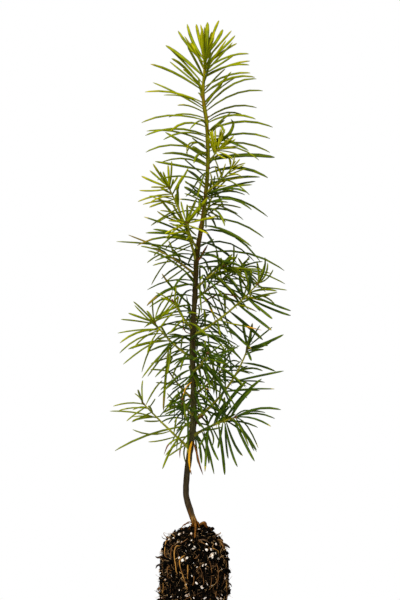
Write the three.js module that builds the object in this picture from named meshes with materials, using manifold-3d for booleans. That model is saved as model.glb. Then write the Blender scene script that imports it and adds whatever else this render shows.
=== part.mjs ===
// Douglas fir plug seedling, standing on its own root ball.
// Millimetres, +Z up. The origin is the centre of the root ball's flat underside.
// The front of the plant faces -Y, and +X is to the right as seen from the front.

import * as THREE from "three";
import { mergeVertices } from "three/addons/utils/BufferGeometryUtils.js";
import Module from "manifold-3d";

const wasm = await Module();
wasm.setup();

const UP = new THREE.Vector3(0, 0, 1);
const X_AXIS = new THREE.Vector3(1, 0, 0);
const Y_AXIS = new THREE.Vector3(0, 1, 0);
const DEGREE = Math.PI / 180;
const GOLDEN_ANGLE = 137.508 * DEGREE;

// Clearances
const GAP = 0.3; // between two solids that meet
const NEEDLE_GAP = 0.2; // between needles of two masses that pass each other
const CROSSING_GAP = 1.4; // between the centre lines of two needles of one mass, past their roots

// Root ball: a forestry plug of peat, widest below its rounded shoulder and tapered to its foot
const SOIL_HEIGHT = 120; // where the stem leaves the soil
const PLUG_RADIUS = 19.5;
const PLUG_LOW_RADIUS = 15.4; // at the lower end of the taper
const PLUG_FOOT_RADIUS = 13.8; // the flat underside
const PLUG_SEAT_RADIUS = 5.5; // the flat round the stem's foot
const SHOULDER_DEPTH = 30; // how far down the rounding reaches
const SHOULDER_POWER = 2.6;
const TAPER_FROM = 85; // height at which the taper starts
const PLUG_SIDES = 18;
const PLUG_RINGS = 12;
const TOP_RING_DROP = 0.8; // the highest and the lowest ring of the skin, under the soil's height
const LOW_RING_DROP = 113;
const PLUG_LUMP = 0.55; // how far the crumbs stand in or out
const ROOT_STRANDS = 5; // the stoutest roots that run down the skin
const ROOT_RADIUS = 0.55;
const ROOT_SINK = 1.4; // how deep a strand's two ends go under the skin

// Stem: its centre line over the soil, as [sideways, depth, height], and its girth
const STEM_ROUTE = [
  [0.9, 0, 0],
  [-1.7, 0.3, 7],
  [-4.4, 0.6, 17.5],
  [-3.1, 0.3, 35],
  [-0.5, -0.4, 56],
  [-0.3, -0.5, 77],
  [-0.9, 0.2, 99],
  [0.6, 0.6, 129],
  [1.7, 0.3, 150],
  [5.4, -0.3, 174],
  [7.6, -0.4, 199],
  [7.0, 0.2, 221],
  [5.0, 0.4, 237],
  [5.7, 0, 252],
];
const STEM_HEIGHT = 252;
const STEM_GIRTH = 3.45; // diameter over the root flare
const STEM_TIP_GIRTH = 1.5;
const STEM_TAPER_POWER = 1.45;
const FLARE = 1.1; // how much the radius grows at the root collar
const FLARE_HEIGHT = 2.2;
const STEM_SIDES = 8;
const STEM_STEPS = 32;

// The thick root that loops out of the collar and down to the soil, to the right
const COLLAR_ROUTE = [
  [0.9, -0.2, 1.6],
  [3.6, -0.6, 2.7],
  [5.7, -0.8, 2.0],
  [6.5, -0.9, -1],
];
const COLLAR_ROOT_RADIUS = 1.3;
const COLLAR_ROOT_SWELL = 0.6;

// Needles
const NEEDLE_WIDTH = 1.8; // larger than life, as each stands for one or two real ones
const NEEDLE_ROOT = 0.35; // the share of its full girth that a needle has at its root
const NEEDLE_THICKNESS = 0.9;
const NEEDLE_SIDES = 3;
const STIFF_DROOP = 0.8; // a needle that droops less than this has one bend, and others two
const TURN_STEP = 21 * DEGREE; // a needle that would touch is turned by this much more at each try
const TRIES = 9;
const SHRINK = 0.04; // and is this much shorter at each try
const SHARE_MODELLED = 0.38; // of a side shoot's needles

// Leader: the needles that stand on the stem itself, in sleeves round it
const SLEEVE_FROM = 87;
const SLEEVE_TO = 251;
const SLEEVES = 8;
const SLEEVE_WALL = 0.6;
const SLEEVE_MARGIN = 1.1; // no needle leaves a sleeve nearer to its ends than this
const LEADER_NEEDLES_PER_MM = 0.7;
const LEADER_THINNING = 0.3; // the share of needles that the oldest sleeve lacks
const SIDEWAYS_SQUEEZE = 0.38; // needles crowd to the left and right of the leader
const LEADER_SPREAD = [42, 88]; // degrees from the stem, by its tip and far below
const SPREAD_FADE = 55; // how far below the tip that change happens
const LEADER_DROOP = 1.05;
const DROOP_FADE = 26;
const LEADER_LENGTH = [29, 37]; // needles by the tip, and those that are full grown
const FULL_GROWN_BELOW = 30;
const TIP_TWIG_LENGTH = 6; // the twig under the end bud, with a rosette of needles
const TIP_TWIG_GIRTH = 1.1;
const TIP_NEEDLES = 18;
const ROSETTE_SPREAD = [44, 12];
const ROSETTE_LENGTH = [26, 23];
const ROSETTE_DROOP = 0.06;

// Side shoots, from the lowest up. height: where the shoot leaves the stem, over the soil.
// tip: from there to its bud, as [sideways, depth, rise]. bow: how far its middle stands off that line.
// bare: the share of it that is bough. length: of its longest needles. droop: how far they arch down.
const SHOOTS = [
  {
    name: "low_left", height: 42.4, tip: [-25.7, -10, 26.4], bow: [0, 0, -0.5],
    bare: 0.26, girth: 1.5, needles: 30, length: 26, droop: 0.35,
  },
  {
    name: "low_right", height: 49.5, tip: [23.8, -14, 12.1], bow: [0, 0, 1],
    bare: 0.24, girth: 1.7, needles: 44, length: 31, droop: 0.75,
  },
  {
    name: "low_back", height: 52.3, tip: [-6, 24, 14], bow: [0, 0, -2],
    bare: 0.26, girth: 1.5, needles: 30, length: 24, droop: 0.6,
  },
  {
    name: "tall_right", height: 58.3, tip: [30.2, -4, 41.3], bow: [3.2, 0, -2.6],
    bare: 0.24, girth: 1.7, needles: 46, length: 27, droop: 0.45,
  },
  {
    name: "low_front", height: 61.6, tip: [-6, -23, 11], bow: [0, 0, -2],
    bare: 0.26, girth: 1.5, needles: 30, length: 24, droop: 0.6,
  },
  {
    name: "back_left_low", height: 69.9, tip: [-15, 16, 16], bow: [0, 0, -1.5],
    bare: 0.26, girth: 1.5, needles: 34, length: 26, droop: 0.55,
  },
  {
    name: "back_right_low", height: 72.6, tip: [18, 18, 15], bow: [0, 0, -1.5],
    bare: 0.26, girth: 1.5, needles: 36, length: 24, droop: 0.55,
  },
  {
    name: "front_right", height: 85.3, tip: [8, -22, 12], bow: [0, 0, -1.5],
    bare: 0.26, girth: 1.5, needles: 32, length: 24, droop: 0.6,
  },
  {
    name: "mid_left", height: 93, tip: [-20.8, -12, 20.4], bow: [0, 0, -2],
    bare: 0.26, girth: 1.6, needles: 40, length: 26, droop: 0.35,
  },
  {
    name: "mid_back", height: 97.4, tip: [3, 25, 16], bow: [0, 0, -2],
    bare: 0.26, girth: 1.5, needles: 32, length: 24, droop: 0.5,
  },
  {
    name: "mid_right", height: 105, tip: [36, -8, 29.7], bow: [0, 0, -2.6],
    bare: 0.24, girth: 1.6, needles: 46, length: 28, droop: 0.4,
  },
  {
    name: "left_inner", height: 108.4, tip: [-11, -14, 17], bow: [0, 0, -1],
    bare: 0.28, girth: 1.4, needles: 30, length: 22, droop: 0.45,
  },
  {
    name: "back_right", height: 124.9, tip: [27.2, 13, 16], bow: [0, 0, 1.5],
    bare: 0.26, girth: 1.4, needles: 38, length: 25, droop: 0.6,
  },
  {
    name: "right_inner", height: 130.4, tip: [15.8, -10, 13.8], bow: [0, 0, 1],
    bare: 0.28, girth: 1.4, needles: 38, length: 21, droop: 0.65,
  },
  {
    name: "back_left", height: 138.6, tip: [-21, 12, 13], bow: [0, 0, 1],
    bare: 0.28, girth: 1.4, needles: 38, length: 28, droop: 0.3,
  },
  {
    name: "upper_left", height: 145.8, tip: [-15.1, -9, 41.3], bow: [1.2, 0, 0],
    bare: 0.3, girth: 1.6, needles: 44, length: 19, droop: 0.2,
  },
  {
    name: "upper_front", height: 153, tip: [-6.2, -17, 15.5], bow: [0, 0, -2],
    bare: 0.34, girth: 1.3, needles: 34, length: 17, droop: 0.25,
  },
  {
    name: "upper_back", height: 166, tip: [7, 17, 20], bow: [0, 0, -1],
    bare: 0.3, girth: 1.3, needles: 30, length: 18, droop: 0.35,
  },
  {
    name: "upper_right", height: 184, tip: [14.7, -6, 14], bow: [0, 0, -1],
    bare: 0.3, girth: 1.2, needles: 34, length: 13, droop: 0.3,
  },
  {
    name: "top_front", height: 201.9, tip: [5.1, -9, 5.5], bow: [0, 0, -1],
    bare: 0.36, girth: 1.1, needles: 30, length: 13, droop: 0.1,
  },
];
const SHOOT_TIP_GIRTH = 0.75;
const TWIG_SIDES = 4;
const TWIG_STEPS = 3;
const BOUGH_SIDES = 5;
const BOUGH_STEPS = 3;
const FOOT_SPREAD = 66 * DEGREE; // angle between a needle and its shoot, at the shoot's foot
const TIP_SPREAD = 27 * DEGREE; // and round its bud
const SPREAD_JITTER = 13 * DEGREE;

// Needles that have died on the lowest stem, as heading, spread from the stem and droop
const SPENT_SLEEVE = [44.5, 49];
const SPENT_NEEDLES = [
  { heading: 262, spread: 62, length: 19, droop: 2.1 },
  { heading: 318, spread: 75, length: 17, droop: 1.5 },
  { heading: 160, spread: 78, length: 15, droop: 1.4 },
  { heading: 60, spread: 80, length: 16, droop: 1.2 },
];

const BARK = new THREE.MeshStandardMaterial({ color: 0x4a3c26, roughness: 0.85, metalness: 0 });
const TWIG_BARK = new THREE.MeshStandardMaterial({ color: 0x8c7420, roughness: 0.7, metalness: 0 });
const PEAT = new THREE.MeshStandardMaterial({ color: 0x221911, roughness: 1, metalness: 0 });
const GREENS = [0x3f5a22, 0x56731c, 0x7f8f16, 0x98a21a].map(
  (color) => new THREE.MeshStandardMaterial({ color, roughness: 0.5, metalness: 0 }),
);

const mix = (a, b, t) => a + (b - a) * t;
const clamp = (v, low, high) => Math.min(high, Math.max(low, v));

// A steady pseudo-random number from 0 to 1 for a pair of whole numbers.
function chance(a, b) {
  const wave = Math.sin(a * 127.1 + b * 311.7) * 43758.5453;
  return wave - Math.floor(wave);
}

// ---- solids

function solidFrom(geometry) {
  const bare = geometry.clone();
  bare.deleteAttribute("normal");
  bare.deleteAttribute("uv");
  const merged = mergeVertices(bare, 1e-5);
  return new wasm.Manifold(
    new wasm.Mesh({
      numProp: 3,
      vertProperties: new Float32Array(merged.attributes.position.array),
      triVerts: new Uint32Array(merged.index.array),
    }),
  );
}

// The largest piece of a solid, with any pocket that the joining sealed filled in.
function wholePiece(solid) {
  const pieces = solid.decompose().filter((piece) => piece.volume() > 0);
  return pieces.reduce((best, piece) => (piece.volume() > best.volume() ? piece : best));
}

function meshFrom(solid, name, material) {
  const tidy = wholePiece(wholePiece(solid).simplify(0.01));
  const { vertProperties, triVerts } = tidy.getMesh();
  const geometry = new THREE.BufferGeometry();
  geometry.setAttribute("position", new THREE.BufferAttribute(new Float32Array(vertProperties), 3));
  geometry.setIndex(new THREE.BufferAttribute(new Uint32Array(triVerts), 1));
  const mesh = new THREE.Mesh(geometry, material);
  mesh.name = name;
  return mesh;
}

// Carries a unit cylinder's rings to wherever place(angle, along) puts them.
function carried(sides, steps, place, pointed = false) {
  const geometry = new THREE.CylinderGeometry(pointed ? 0 : 1, 1, 1, sides, steps);
  const position = geometry.attributes.position;
  const vertex = new THREE.Vector3();
  for (let i = 0; i < position.count; i += 1) {
    vertex.fromBufferAttribute(position, i);
    const along = vertex.y + 0.5;
    const onAxis = Math.hypot(vertex.x, vertex.z) < 1e-6;
    const point = place(Math.atan2(vertex.x, vertex.z), along, onAxis);
    position.setXYZ(i, point.x, point.y, point.z);
  }
  return solidFrom(geometry);
}

// ---- shoots

// A shoot's centre line with a frame that doesn't twist: tangent, side and binormal.
class Shoot {
  constructor(curve, radiusAt) {
    this.curve = curve;
    this.radiusAt = radiusAt;
    const chord = curve.getPoint(1).sub(curve.getPoint(0)).normalize();
    const helper = Math.abs(chord.y) > 0.8 ? X_AXIS : Y_AXIS;
    this.reference = chord.cross(helper).normalize();
  }

  frameAt(t) {
    const tangent = this.curve.getTangent(t).normalize();
    const side = this.reference.clone().addScaledVector(tangent, -this.reference.dot(tangent));
    side.normalize();
    return { origin: this.curve.getPoint(t), tangent, side, other: tangent.clone().cross(side) };
  }

  limb(sides, steps, from = 0, to = 1, extra = 0) {
    return carried(sides, steps, (angle, along, onAxis) => {
      const t = mix(from, to, along);
      const { origin, side, other } = this.frameAt(t);
      const radius = onAxis ? 0 : this.radiusAt(t) + extra;
      return origin
        .addScaledVector(side, radius * Math.cos(angle))
        .addScaledVector(other, radius * Math.sin(angle));
    });
  }
}

const soil = (point) => new THREE.Vector3(point[0], point[1], point[2] + SOIL_HEIGHT);

// The stem's route is read by height, so that t is the share of the stem's height.
class StemCurve extends THREE.Curve {
  getPoint(t) {
    const height = clamp(t, 0, 1) * STEM_HEIGHT;
    let i = 1;
    while (i < STEM_ROUTE.length - 2 && STEM_ROUTE[i + 1][2] < height) i += 1;
    if (height < STEM_ROUTE[1][2]) i = 0;
    const before = STEM_ROUTE[Math.max(i - 1, 0)];
    const [start, end] = [STEM_ROUTE[i], STEM_ROUTE[i + 1]];
    const after = STEM_ROUTE[Math.min(i + 2, STEM_ROUTE.length - 1)];
    const span = end[2] - start[2];
    const u = (height - start[2]) / span;
    const across = [0, 1].map((axis) => {
      const slopeIn = ((end[axis] - before[axis]) / (end[2] - before[2])) * span;
      const slopeOut = ((after[axis] - start[axis]) / (after[2] - start[2])) * span;
      return (
        (2 * u ** 3 - 3 * u ** 2 + 1) * start[axis] +
        (u ** 3 - 2 * u ** 2 + u) * slopeIn +
        (-2 * u ** 3 + 3 * u ** 2) * end[axis] +
        (u ** 3 - u ** 2) * slopeOut
      );
    });
    return soil([across[0], across[1], height]);
  }
}

function stemRadius(t) {
  const girth = STEM_GIRTH - (STEM_GIRTH - STEM_TIP_GIRTH) * t ** STEM_TAPER_POWER;
  return girth / 2 + FLARE * Math.exp((-t * STEM_HEIGHT) / FLARE_HEIGHT);
}

const stem = new Shoot(new StemCurve(), stemRadius);
const stemShare = (height) => height / STEM_HEIGHT;

function sideShoot({ height, tip, bow, girth }) {
  const foot = stem.curve.getPoint(stemShare(height));
  const end = foot.clone().add(new THREE.Vector3(...tip));
  const middle = foot.clone().add(end).multiplyScalar(0.5);
  middle.addScaledVector(new THREE.Vector3(...bow), 2);
  const curve = new THREE.QuadraticBezierCurve3(foot, middle, end);
  return new Shoot(curve, (t) => mix(girth, SHOOT_TIP_GIRTH, t) / 2);
}

// ---- needles

// Everything that a needle has to keep clear of: centre lines with their half thickness.
const taken = [];

function closestApproach(a, b, c, d) {
  const ab = b.clone().sub(a);
  const cd = d.clone().sub(c);
  const ac = c.clone().sub(a);
  const [aa, cc, cross] = [ab.dot(ab), cd.dot(cd), ab.dot(cd)];
  const [abAc, cdAc] = [ab.dot(ac), cd.dot(ac)];
  const spread = aa * cc - cross * cross;
  let s = spread > 1e-9 ? clamp((abAc * cc - cdAc * cross) / spread, 0, 1) : 0;
  const u = clamp((s * cross - cdAc) / cc, 0, 1);
  s = clamp((u * cross + abAc) / aa, 0, 1);
  return a.clone().addScaledVector(ab, s).distanceTo(c.clone().addScaledVector(cd, u));
}

function takeLimb(shoot, owner, from, to, steps, extra = 0) {
  for (let i = 0; i < steps; i += 1) {
    const [t0, t1] = [mix(from, to, i / steps), mix(from, to, (i + 1) / steps)];
    taken.push({
      owner,
      limb: true,
      a: shoot.curve.getPoint(t0),
      b: shoot.curve.getPoint(t1),
      radius: Math.max(shoot.radiusAt(t0), shoot.radiusAt(t1)) + extra,
    });
  }
}

// A needle is an arc that leaves its shoot straight and bends under its own weight.
function needleLine(root, direction, length, droop) {
  const at = (share) =>
    root
      .clone()
      .addScaledVector(direction, share * length)
      .addScaledVector(UP, (-droop * length * share * share) / 2);
  const headingAt = (share) => direction.clone().addScaledVector(UP, -droop * share).normalize();
  return { at, headingAt, droop };
}

function isClear(line, owner) {
  const [root, middle, end] = [line.at(0), line.at(0.5), line.at(1)];
  const half = NEEDLE_WIDTH / 2;
  return taken.every(({ owner: other, limb, a, b, radius }) => {
    if (other !== owner) {
      const room = radius + half + NEEDLE_GAP;
      return closestApproach(root, middle, a, b) > room && closestApproach(middle, end, a, b) > room;
    }
    return limb || closestApproach(middle, end, a, b) > CROSSING_GAP;
  });
}

// The blade's flat side faces the tip of its shoot. Its sections are parallel, so its sides are flat.
function needleSolid(line, facing) {
  const heading = line.headingAt(0.3);
  const across = new THREE.Vector3().crossVectors(heading, facing).normalize();
  const normal = new THREE.Vector3().crossVectors(across, heading).normalize();
  const place = (angle, along, onAxis) => {
    const corner = onAxis ? 0 : (along < 0.1 ? NEEDLE_ROOT : 1) / Math.sqrt(3);
    return line
      .at(along)
      .addScaledVector(across, corner * NEEDLE_WIDTH * Math.sin(angle))
      .addScaledVector(normal, corner * NEEDLE_THICKNESS * Math.cos(angle));
  };
  return carried(NEEDLE_SIDES, line.droop > STIFF_DROOP ? 3 : 2, place, true);
}

// Grows one needle from a shoot, turning it until it is clear of all others.
function growNeedle({ shoot, t, angle, spread, length, droop, owner, seed, rootBack = 0 }) {
  const { origin, tangent, side, other } = shoot.frameAt(t);
  for (let attempt = 0; attempt < TRIES; attempt += 1) {
    const turn = attempt * TURN_STEP * (attempt % 2 ? 1 : -1);
    const heading = angle + turn;
    const out = side.clone().multiplyScalar(Math.cos(heading));
    out.addScaledVector(other, Math.sin(heading));
    const direction = tangent.clone().multiplyScalar(Math.cos(spread));
    direction.addScaledVector(out, Math.sin(spread)).normalize();
    const root = origin.clone().addScaledVector(tangent, -rootBack / Math.tan(spread));
    const reach = length * (1 - SHRINK * attempt) * mix(0.9, 1.06, chance(seed, 5));
    const line = needleLine(root, direction, reach, droop);
    if (!isClear(line, owner)) continue;
    const half = NEEDLE_WIDTH / 2;
    taken.push({ owner, a: line.at(0), b: line.at(0.5), radius: half, limb: true });
    taken.push({ owner, a: line.at(0.5), b: line.at(1), radius: half, limb: false });
    return needleSolid(line, tangent);
  }
  return null;
}

// ---- the needles of a side shoot, thickest round its bud

function shootNeedles(row, shoot, owner, number) {
  const grown = [];
  const count = Math.round(row.needles * SHARE_MODELLED);
  for (let i = 0; i < count; i += 1) {
    const seed = number * 100 + i;
    const share = 1 - (1 - (i + 0.5) / count) ** 1.35;
    const t = mix(row.bare + 0.06, 0.985, share);
    const spread = mix(FOOT_SPREAD, TIP_SPREAD, share ** 1.5) + (chance(seed, 1) - 0.5) * 2 * SPREAD_JITTER;
    const length = row.length * mix(0.78, 1, Math.sin(Math.PI * clamp(share * 1.1, 0, 1)));
    const droop = row.droop * mix(0.7, 1.3, chance(seed, 2));
    const angle = i * GOLDEN_ANGLE + (chance(seed, 3) - 0.5) * 0.5;
    const needle = growNeedle({ shoot, t, angle, spread, length, droop, owner, seed });
    if (needle) grown.push(needle);
  }
  return grown;
}

// ---- the needles of the leader

const leaderSpread = (below) => mix(...LEADER_SPREAD, 1 - Math.exp(-below / SPREAD_FADE)) * DEGREE;
const leaderDroop = (below) => LEADER_DROOP * (1 - Math.exp(-((below / DROOP_FADE) ** 2)));
const leaderLength = (below) => mix(...LEADER_LENGTH, clamp(below / FULL_GROWN_BELOW, 0, 1));

function squeezed(angle) {
  return angle - SIDEWAYS_SQUEEZE * Math.sin(2 * angle);
}

// The angle round the stem is counted from +X, whatever way the stem's own frame lies.
function frameAngle(shoot, t, heading) {
  const { side, other } = shoot.frameAt(t);
  const out = new THREE.Vector3(Math.cos(heading), Math.sin(heading), 0);
  return Math.atan2(out.dot(other), out.dot(side));
}

function sleeveNeedles(low, high, owner, number) {
  const grown = [];
  const age = (STEM_HEIGHT - high) / (STEM_HEIGHT - SLEEVE_FROM);
  const density = LEADER_NEEDLES_PER_MM * (1 - LEADER_THINNING * age);
  const count = Math.round((high - low) * density);
  for (let i = 0; i < count; i += 1) {
    const seed = 5000 + number * 100 + i;
    const height = mix(low + SLEEVE_MARGIN, high - SLEEVE_MARGIN, (i + 0.5) / count);
    const t = stemShare(height);
    const below = STEM_HEIGHT - height;
    const heading = squeezed((number * 31 + i) * GOLDEN_ANGLE + (chance(seed, 3) - 0.5) * 0.4);
    const spread = leaderSpread(below) + (chance(seed, 1) - 0.5) * 12 * DEGREE;
    const needle = growNeedle({
      shoot: stem,
      t,
      angle: frameAngle(stem, t, heading),
      spread,
      length: leaderLength(below) * mix(0.92, 1, chance(seed, 4)),
      droop: leaderDroop(below) * mix(0.8, 1.15, chance(seed, 2)),
      owner,
      seed,
      rootBack: stem.radiusAt(t) + GAP,
    });
    if (needle) grown.push(needle);
  }
  return grown;
}

// ---- the parts

const seedling = new THREE.Group();
seedling.name = "douglas_fir_seedling";

const stemRoom = stem.limb(STEM_SIDES, STEM_STEPS, 0, 1, GAP);
const shoots = SHOOTS.map((row) => ({ row, shoot: sideShoot(row) }));
const boughRooms = shoots.map(({ row, shoot }) => {
  return shoot.limb(BOUGH_SIDES, BOUGH_STEPS, 0, row.bare + 0.01, GAP + 0.1);
});

// The root ball: a turned plug whose skin is broken by crumbs and by roots that run down it.
const PLUG_TOP = SOIL_HEIGHT - GAP;

function plugRadiusAt(z) {
  const shoulder = clamp((PLUG_TOP - z) / SHOULDER_DEPTH, 0, 1);
  const round = Math.sqrt(1 - (1 - shoulder) ** SHOULDER_POWER);
  const body = mix(PLUG_RADIUS, PLUG_LOW_RADIUS, clamp((TAPER_FROM - z) / TAPER_FROM, 0, 1));
  return mix(PLUG_SEAT_RADIUS, body, round);
}

// Rings lie closest together on the shoulder.
function plugProfile() {
  const rings = Array.from({ length: PLUG_RINGS }, (_, i) => {
    const share = (PLUG_RINGS - 1 - i) / (PLUG_RINGS - 1);
    const z = PLUG_TOP - mix(TOP_RING_DROP, LOW_RING_DROP, share ** 1.7);
    return new THREE.Vector2(plugRadiusAt(z), z);
  });
  const foot = [new THREE.Vector2(0, 0), new THREE.Vector2(PLUG_FOOT_RADIUS, 0)];
  const seat = [new THREE.Vector2(PLUG_SEAT_RADIUS, PLUG_TOP), new THREE.Vector2(0, PLUG_TOP)];
  return [...foot, ...rings, ...seat];
}

function plugBody() {
  const geometry = new THREE.LatheGeometry(plugProfile(), PLUG_SIDES);
  geometry.rotateX(Math.PI / 2);
  const position = geometry.attributes.position;
  for (let i = 0; i < position.count; i += 1) {
    const [x, y, z] = [position.getX(i), position.getY(i), position.getZ(i)];
    const radius = Math.hypot(x, y);
    if (z < TOP_RING_DROP / 2 || z > PLUG_TOP - TOP_RING_DROP / 2) continue;
    const sector = Math.round((Math.atan2(y, x) / (2 * Math.PI)) * PLUG_SIDES + PLUG_SIDES) % PLUG_SIDES;
    const lump = (chance(sector, Math.round(z)) - 0.5) * 2 * PLUG_LUMP;
    position.setXYZ(i, x * (1 + lump / radius), y * (1 + lump / radius), z + lump * 0.5);
  }
  return solidFrom(geometry);
}

function rootStrand(number) {
  const heading = (number / ROOT_STRANDS) * 2 * Math.PI + (chance(number, 21) - 0.5) * 0.4;
  const top = mix(104, 114, chance(number, 22));
  const foot = mix(12, 58, chance(number, 23));
  const wander = mix(0.06, 0.2, chance(number, 24));
  const points = Array.from({ length: 7 }, (_, i) => {
    const z = mix(top, foot, i / 6);
    const turn = heading + wander * Math.sin(i * 1.1 + number);
    const radius = plugRadiusAt(z) - (i === 0 || i === 6 ? ROOT_SINK : 0);
    return new THREE.Vector3(radius * Math.cos(turn), radius * Math.sin(turn), z);
  });
  const strand = new Shoot(new THREE.CatmullRomCurve3(points), () => ROOT_RADIUS);
  return strand.limb(3, 7);
}

function rootBall() {
  let plug = plugBody();
  for (let number = 0; number < ROOT_STRANDS; number += 1) plug = plug.add(rootStrand(number));
  return meshFrom(plug, "root_ball", PEAT);
}

function collarRoot() {
  const curve = new THREE.CatmullRomCurve3(COLLAR_ROUTE.map(soil));
  const girth = (t) => COLLAR_ROOT_RADIUS + COLLAR_ROOT_SWELL * Math.sin(Math.PI * t);
  return new Shoot(curve, girth).limb(7, 8);
}

function stemWithCollar() {
  const whole = stem.limb(STEM_SIDES, STEM_STEPS).add(collarRoot());
  const belowSoil = new THREE.BoxGeometry(60, 60, 20).translate(0, 0, SOIL_HEIGHT - 10);
  return meshFrom(whole.subtract(solidFrom(belowSoil)), "stem", BARK);
}

function joined(base, needles) {
  return needles.reduce((whole, needle) => whole.add(needle), base);
}

function sleeve(low, high) {
  const [from, to] = [stemShare(low), stemShare(high)];
  return stem.limb(6, 2, from, to, GAP + SLEEVE_WALL);
}

function clearOfLimbs(mass) {
  return boughRooms.reduce((rest, room) => rest.subtract(room), mass.subtract(stemRoom));
}

function leaderSleeves() {
  const pitch = (SLEEVE_TO - SLEEVE_FROM) / SLEEVES;
  return Array.from({ length: SLEEVES }, (_, number) => {
    const low = SLEEVE_FROM + number * pitch;
    return { number, low, high: low + pitch - GAP, name: "leader_needles_" + (number + 1) };
  });
}

function leaderMass({ number, low, high, name }) {
  const needles = sleeveNeedles(low, high, name, number);
  const green = GREENS[number > 5 ? 3 : number > 2 ? 2 : 1];
  return meshFrom(clearOfLimbs(joined(sleeve(low, high), needles)), name, green);
}

// The rosette round the end bud stands on its own short twig above the stem.
function leaderTip() {
  const foot = stem.curve.getPoint(1).addScaledVector(UP, GAP);
  const end = foot.clone().addScaledVector(UP, TIP_TWIG_LENGTH);
  const radiusAt = (t) => mix(STEM_TIP_GIRTH, TIP_TWIG_GIRTH, t) / 2;
  const twig = new Shoot(new THREE.LineCurve3(foot, end), radiusAt);
  const needles = [];
  for (let i = 0; i < TIP_NEEDLES; i += 1) {
    const seed = 9000 + i;
    const t = mix(0.2, 0.95, (i + 0.5) / TIP_NEEDLES);
    const needle = growNeedle({
      shoot: twig,
      t,
      angle: i * GOLDEN_ANGLE,
      spread: mix(...ROSETTE_SPREAD, t) * DEGREE + (chance(seed, 1) - 0.5) * SPREAD_JITTER,
      length: mix(...ROSETTE_LENGTH, t) * mix(0.9, 1.05, chance(seed, 4)),
      droop: ROSETTE_DROOP,
      owner: "leader_tip",
      seed,
    });
    if (needle) needles.push(needle);
  }
  return meshFrom(joined(twig.limb(TWIG_SIDES, 2), needles), "leader_tip", GREENS[3]);
}

function spentNeedles() {
  const [low, high] = SPENT_SLEEVE;
  const middle = stemShare((low + high) / 2);
  const needles = SPENT_NEEDLES.map((row, i) =>
    growNeedle({
      shoot: stem,
      t: middle,
      angle: frameAngle(stem, middle, row.heading * DEGREE),
      spread: row.spread * DEGREE,
      length: row.length,
      droop: row.droop,
      owner: "spent_needles",
      seed: 9500 + i,
      rootBack: stem.radiusAt(middle) + GAP,
    }),
  );
  const mass = joined(sleeve(low, high), needles.filter(Boolean));
  return meshFrom(clearOfLimbs(mass), "spent_needles", TWIG_BARK);
}

function bough({ row, shoot }) {
  const limb = shoot.limb(BOUGH_SIDES, BOUGH_STEPS, 0, row.bare);
  return meshFrom(limb.subtract(stemRoom), "bough_" + row.name, TWIG_BARK);
}

function spray({ row, shoot }, number) {
  const owner = "needles_" + row.name;
  const from = row.bare + GAP / shoot.curve.getLength();
  const needles = shootNeedles(row, shoot, owner, number + 1);
  const green = GREENS[row.height > 140 ? 2 : row.height > 80 ? 1 : 0];
  return meshFrom(joined(shoot.limb(TWIG_SIDES, TWIG_STEPS, from, 1), needles), owner, green);
}

// Limbs are placed before any needle, so that every needle keeps clear of them.
const sleeves = leaderSleeves();
takeLimb(stem, "stem", stemShare(0), stemShare(SPENT_SLEEVE[0]), 12);
takeLimb(stem, "spent_needles", ...SPENT_SLEEVE.map(stemShare), 1, GAP + SLEEVE_WALL);
takeLimb(stem, "stem", stemShare(SPENT_SLEEVE[1]), stemShare(SLEEVE_FROM), 8);
sleeves.forEach(({ low, high, name }) => {
  takeLimb(stem, name, stemShare(low), stemShare(high), 5, GAP + SLEEVE_WALL);
});
shoots.forEach(({ row, shoot }) => {
  takeLimb(shoot, "bough_" + row.name, 0.12, row.bare, 2);
  takeLimb(shoot, "needles_" + row.name, row.bare, 1, 5);
});

seedling.add(rootBall(), stemWithCollar(), spentNeedles());
[...sleeves].reverse().forEach((part) => seedling.add(leaderMass(part)));
seedling.add(leaderTip());
shoots.forEach((part, number) => seedling.add(bough(part), spray(part, number)));

export default seedling;
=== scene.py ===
# Douglas fir plug seedling on its own root ball, dressed for the camera.
# Tables are in millimetres, as a grower measures them, apart from places read off the photo, which are
# in its pixels. Meshes are in metres.

import math

import bpy
import numpy as np
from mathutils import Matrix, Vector


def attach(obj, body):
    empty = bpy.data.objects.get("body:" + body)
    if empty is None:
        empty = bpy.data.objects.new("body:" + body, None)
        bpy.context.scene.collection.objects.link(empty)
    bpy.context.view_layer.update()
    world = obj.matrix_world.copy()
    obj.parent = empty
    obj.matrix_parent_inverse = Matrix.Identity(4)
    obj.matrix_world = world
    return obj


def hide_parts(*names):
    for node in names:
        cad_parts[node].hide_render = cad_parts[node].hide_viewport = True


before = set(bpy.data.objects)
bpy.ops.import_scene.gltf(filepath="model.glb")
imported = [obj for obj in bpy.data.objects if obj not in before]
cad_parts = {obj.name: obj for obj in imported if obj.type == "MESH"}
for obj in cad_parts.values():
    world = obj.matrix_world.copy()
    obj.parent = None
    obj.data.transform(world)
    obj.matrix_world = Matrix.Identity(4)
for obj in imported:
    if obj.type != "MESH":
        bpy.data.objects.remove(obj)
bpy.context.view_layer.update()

MM = 0.001
GOLDEN_ANGLE = np.radians(137.508)
UP = np.array([0.0, 0.0, 1.0])

# The camera stands as the photo's did. A place in the photo is counted in pixels from its upper left
# corner, and is a ray from the camera. The aim is the middle of the picture.
AIM = np.array([3.3, 0.0, 244.9])
CAMERA_DISTANCE = 1600.0
CAMERA_RISE = math.radians(4.0)
PICTURE_HEIGHT = 330.0
PHOTO_SIZE = np.array([400, 600])
PIXEL = PICTURE_HEIGHT / PHOTO_SIZE[1]
RIGHT = np.array([1.0, 0.0, 0.0])
FORWARD = np.array([0.0, math.cos(CAMERA_RISE), -math.sin(CAMERA_RISE)])
PICTURE_UP = np.array([0.0, math.sin(CAMERA_RISE), math.cos(CAMERA_RISE)])
CAMERA = AIM - FORWARD * CAMERA_DISTANCE

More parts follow.
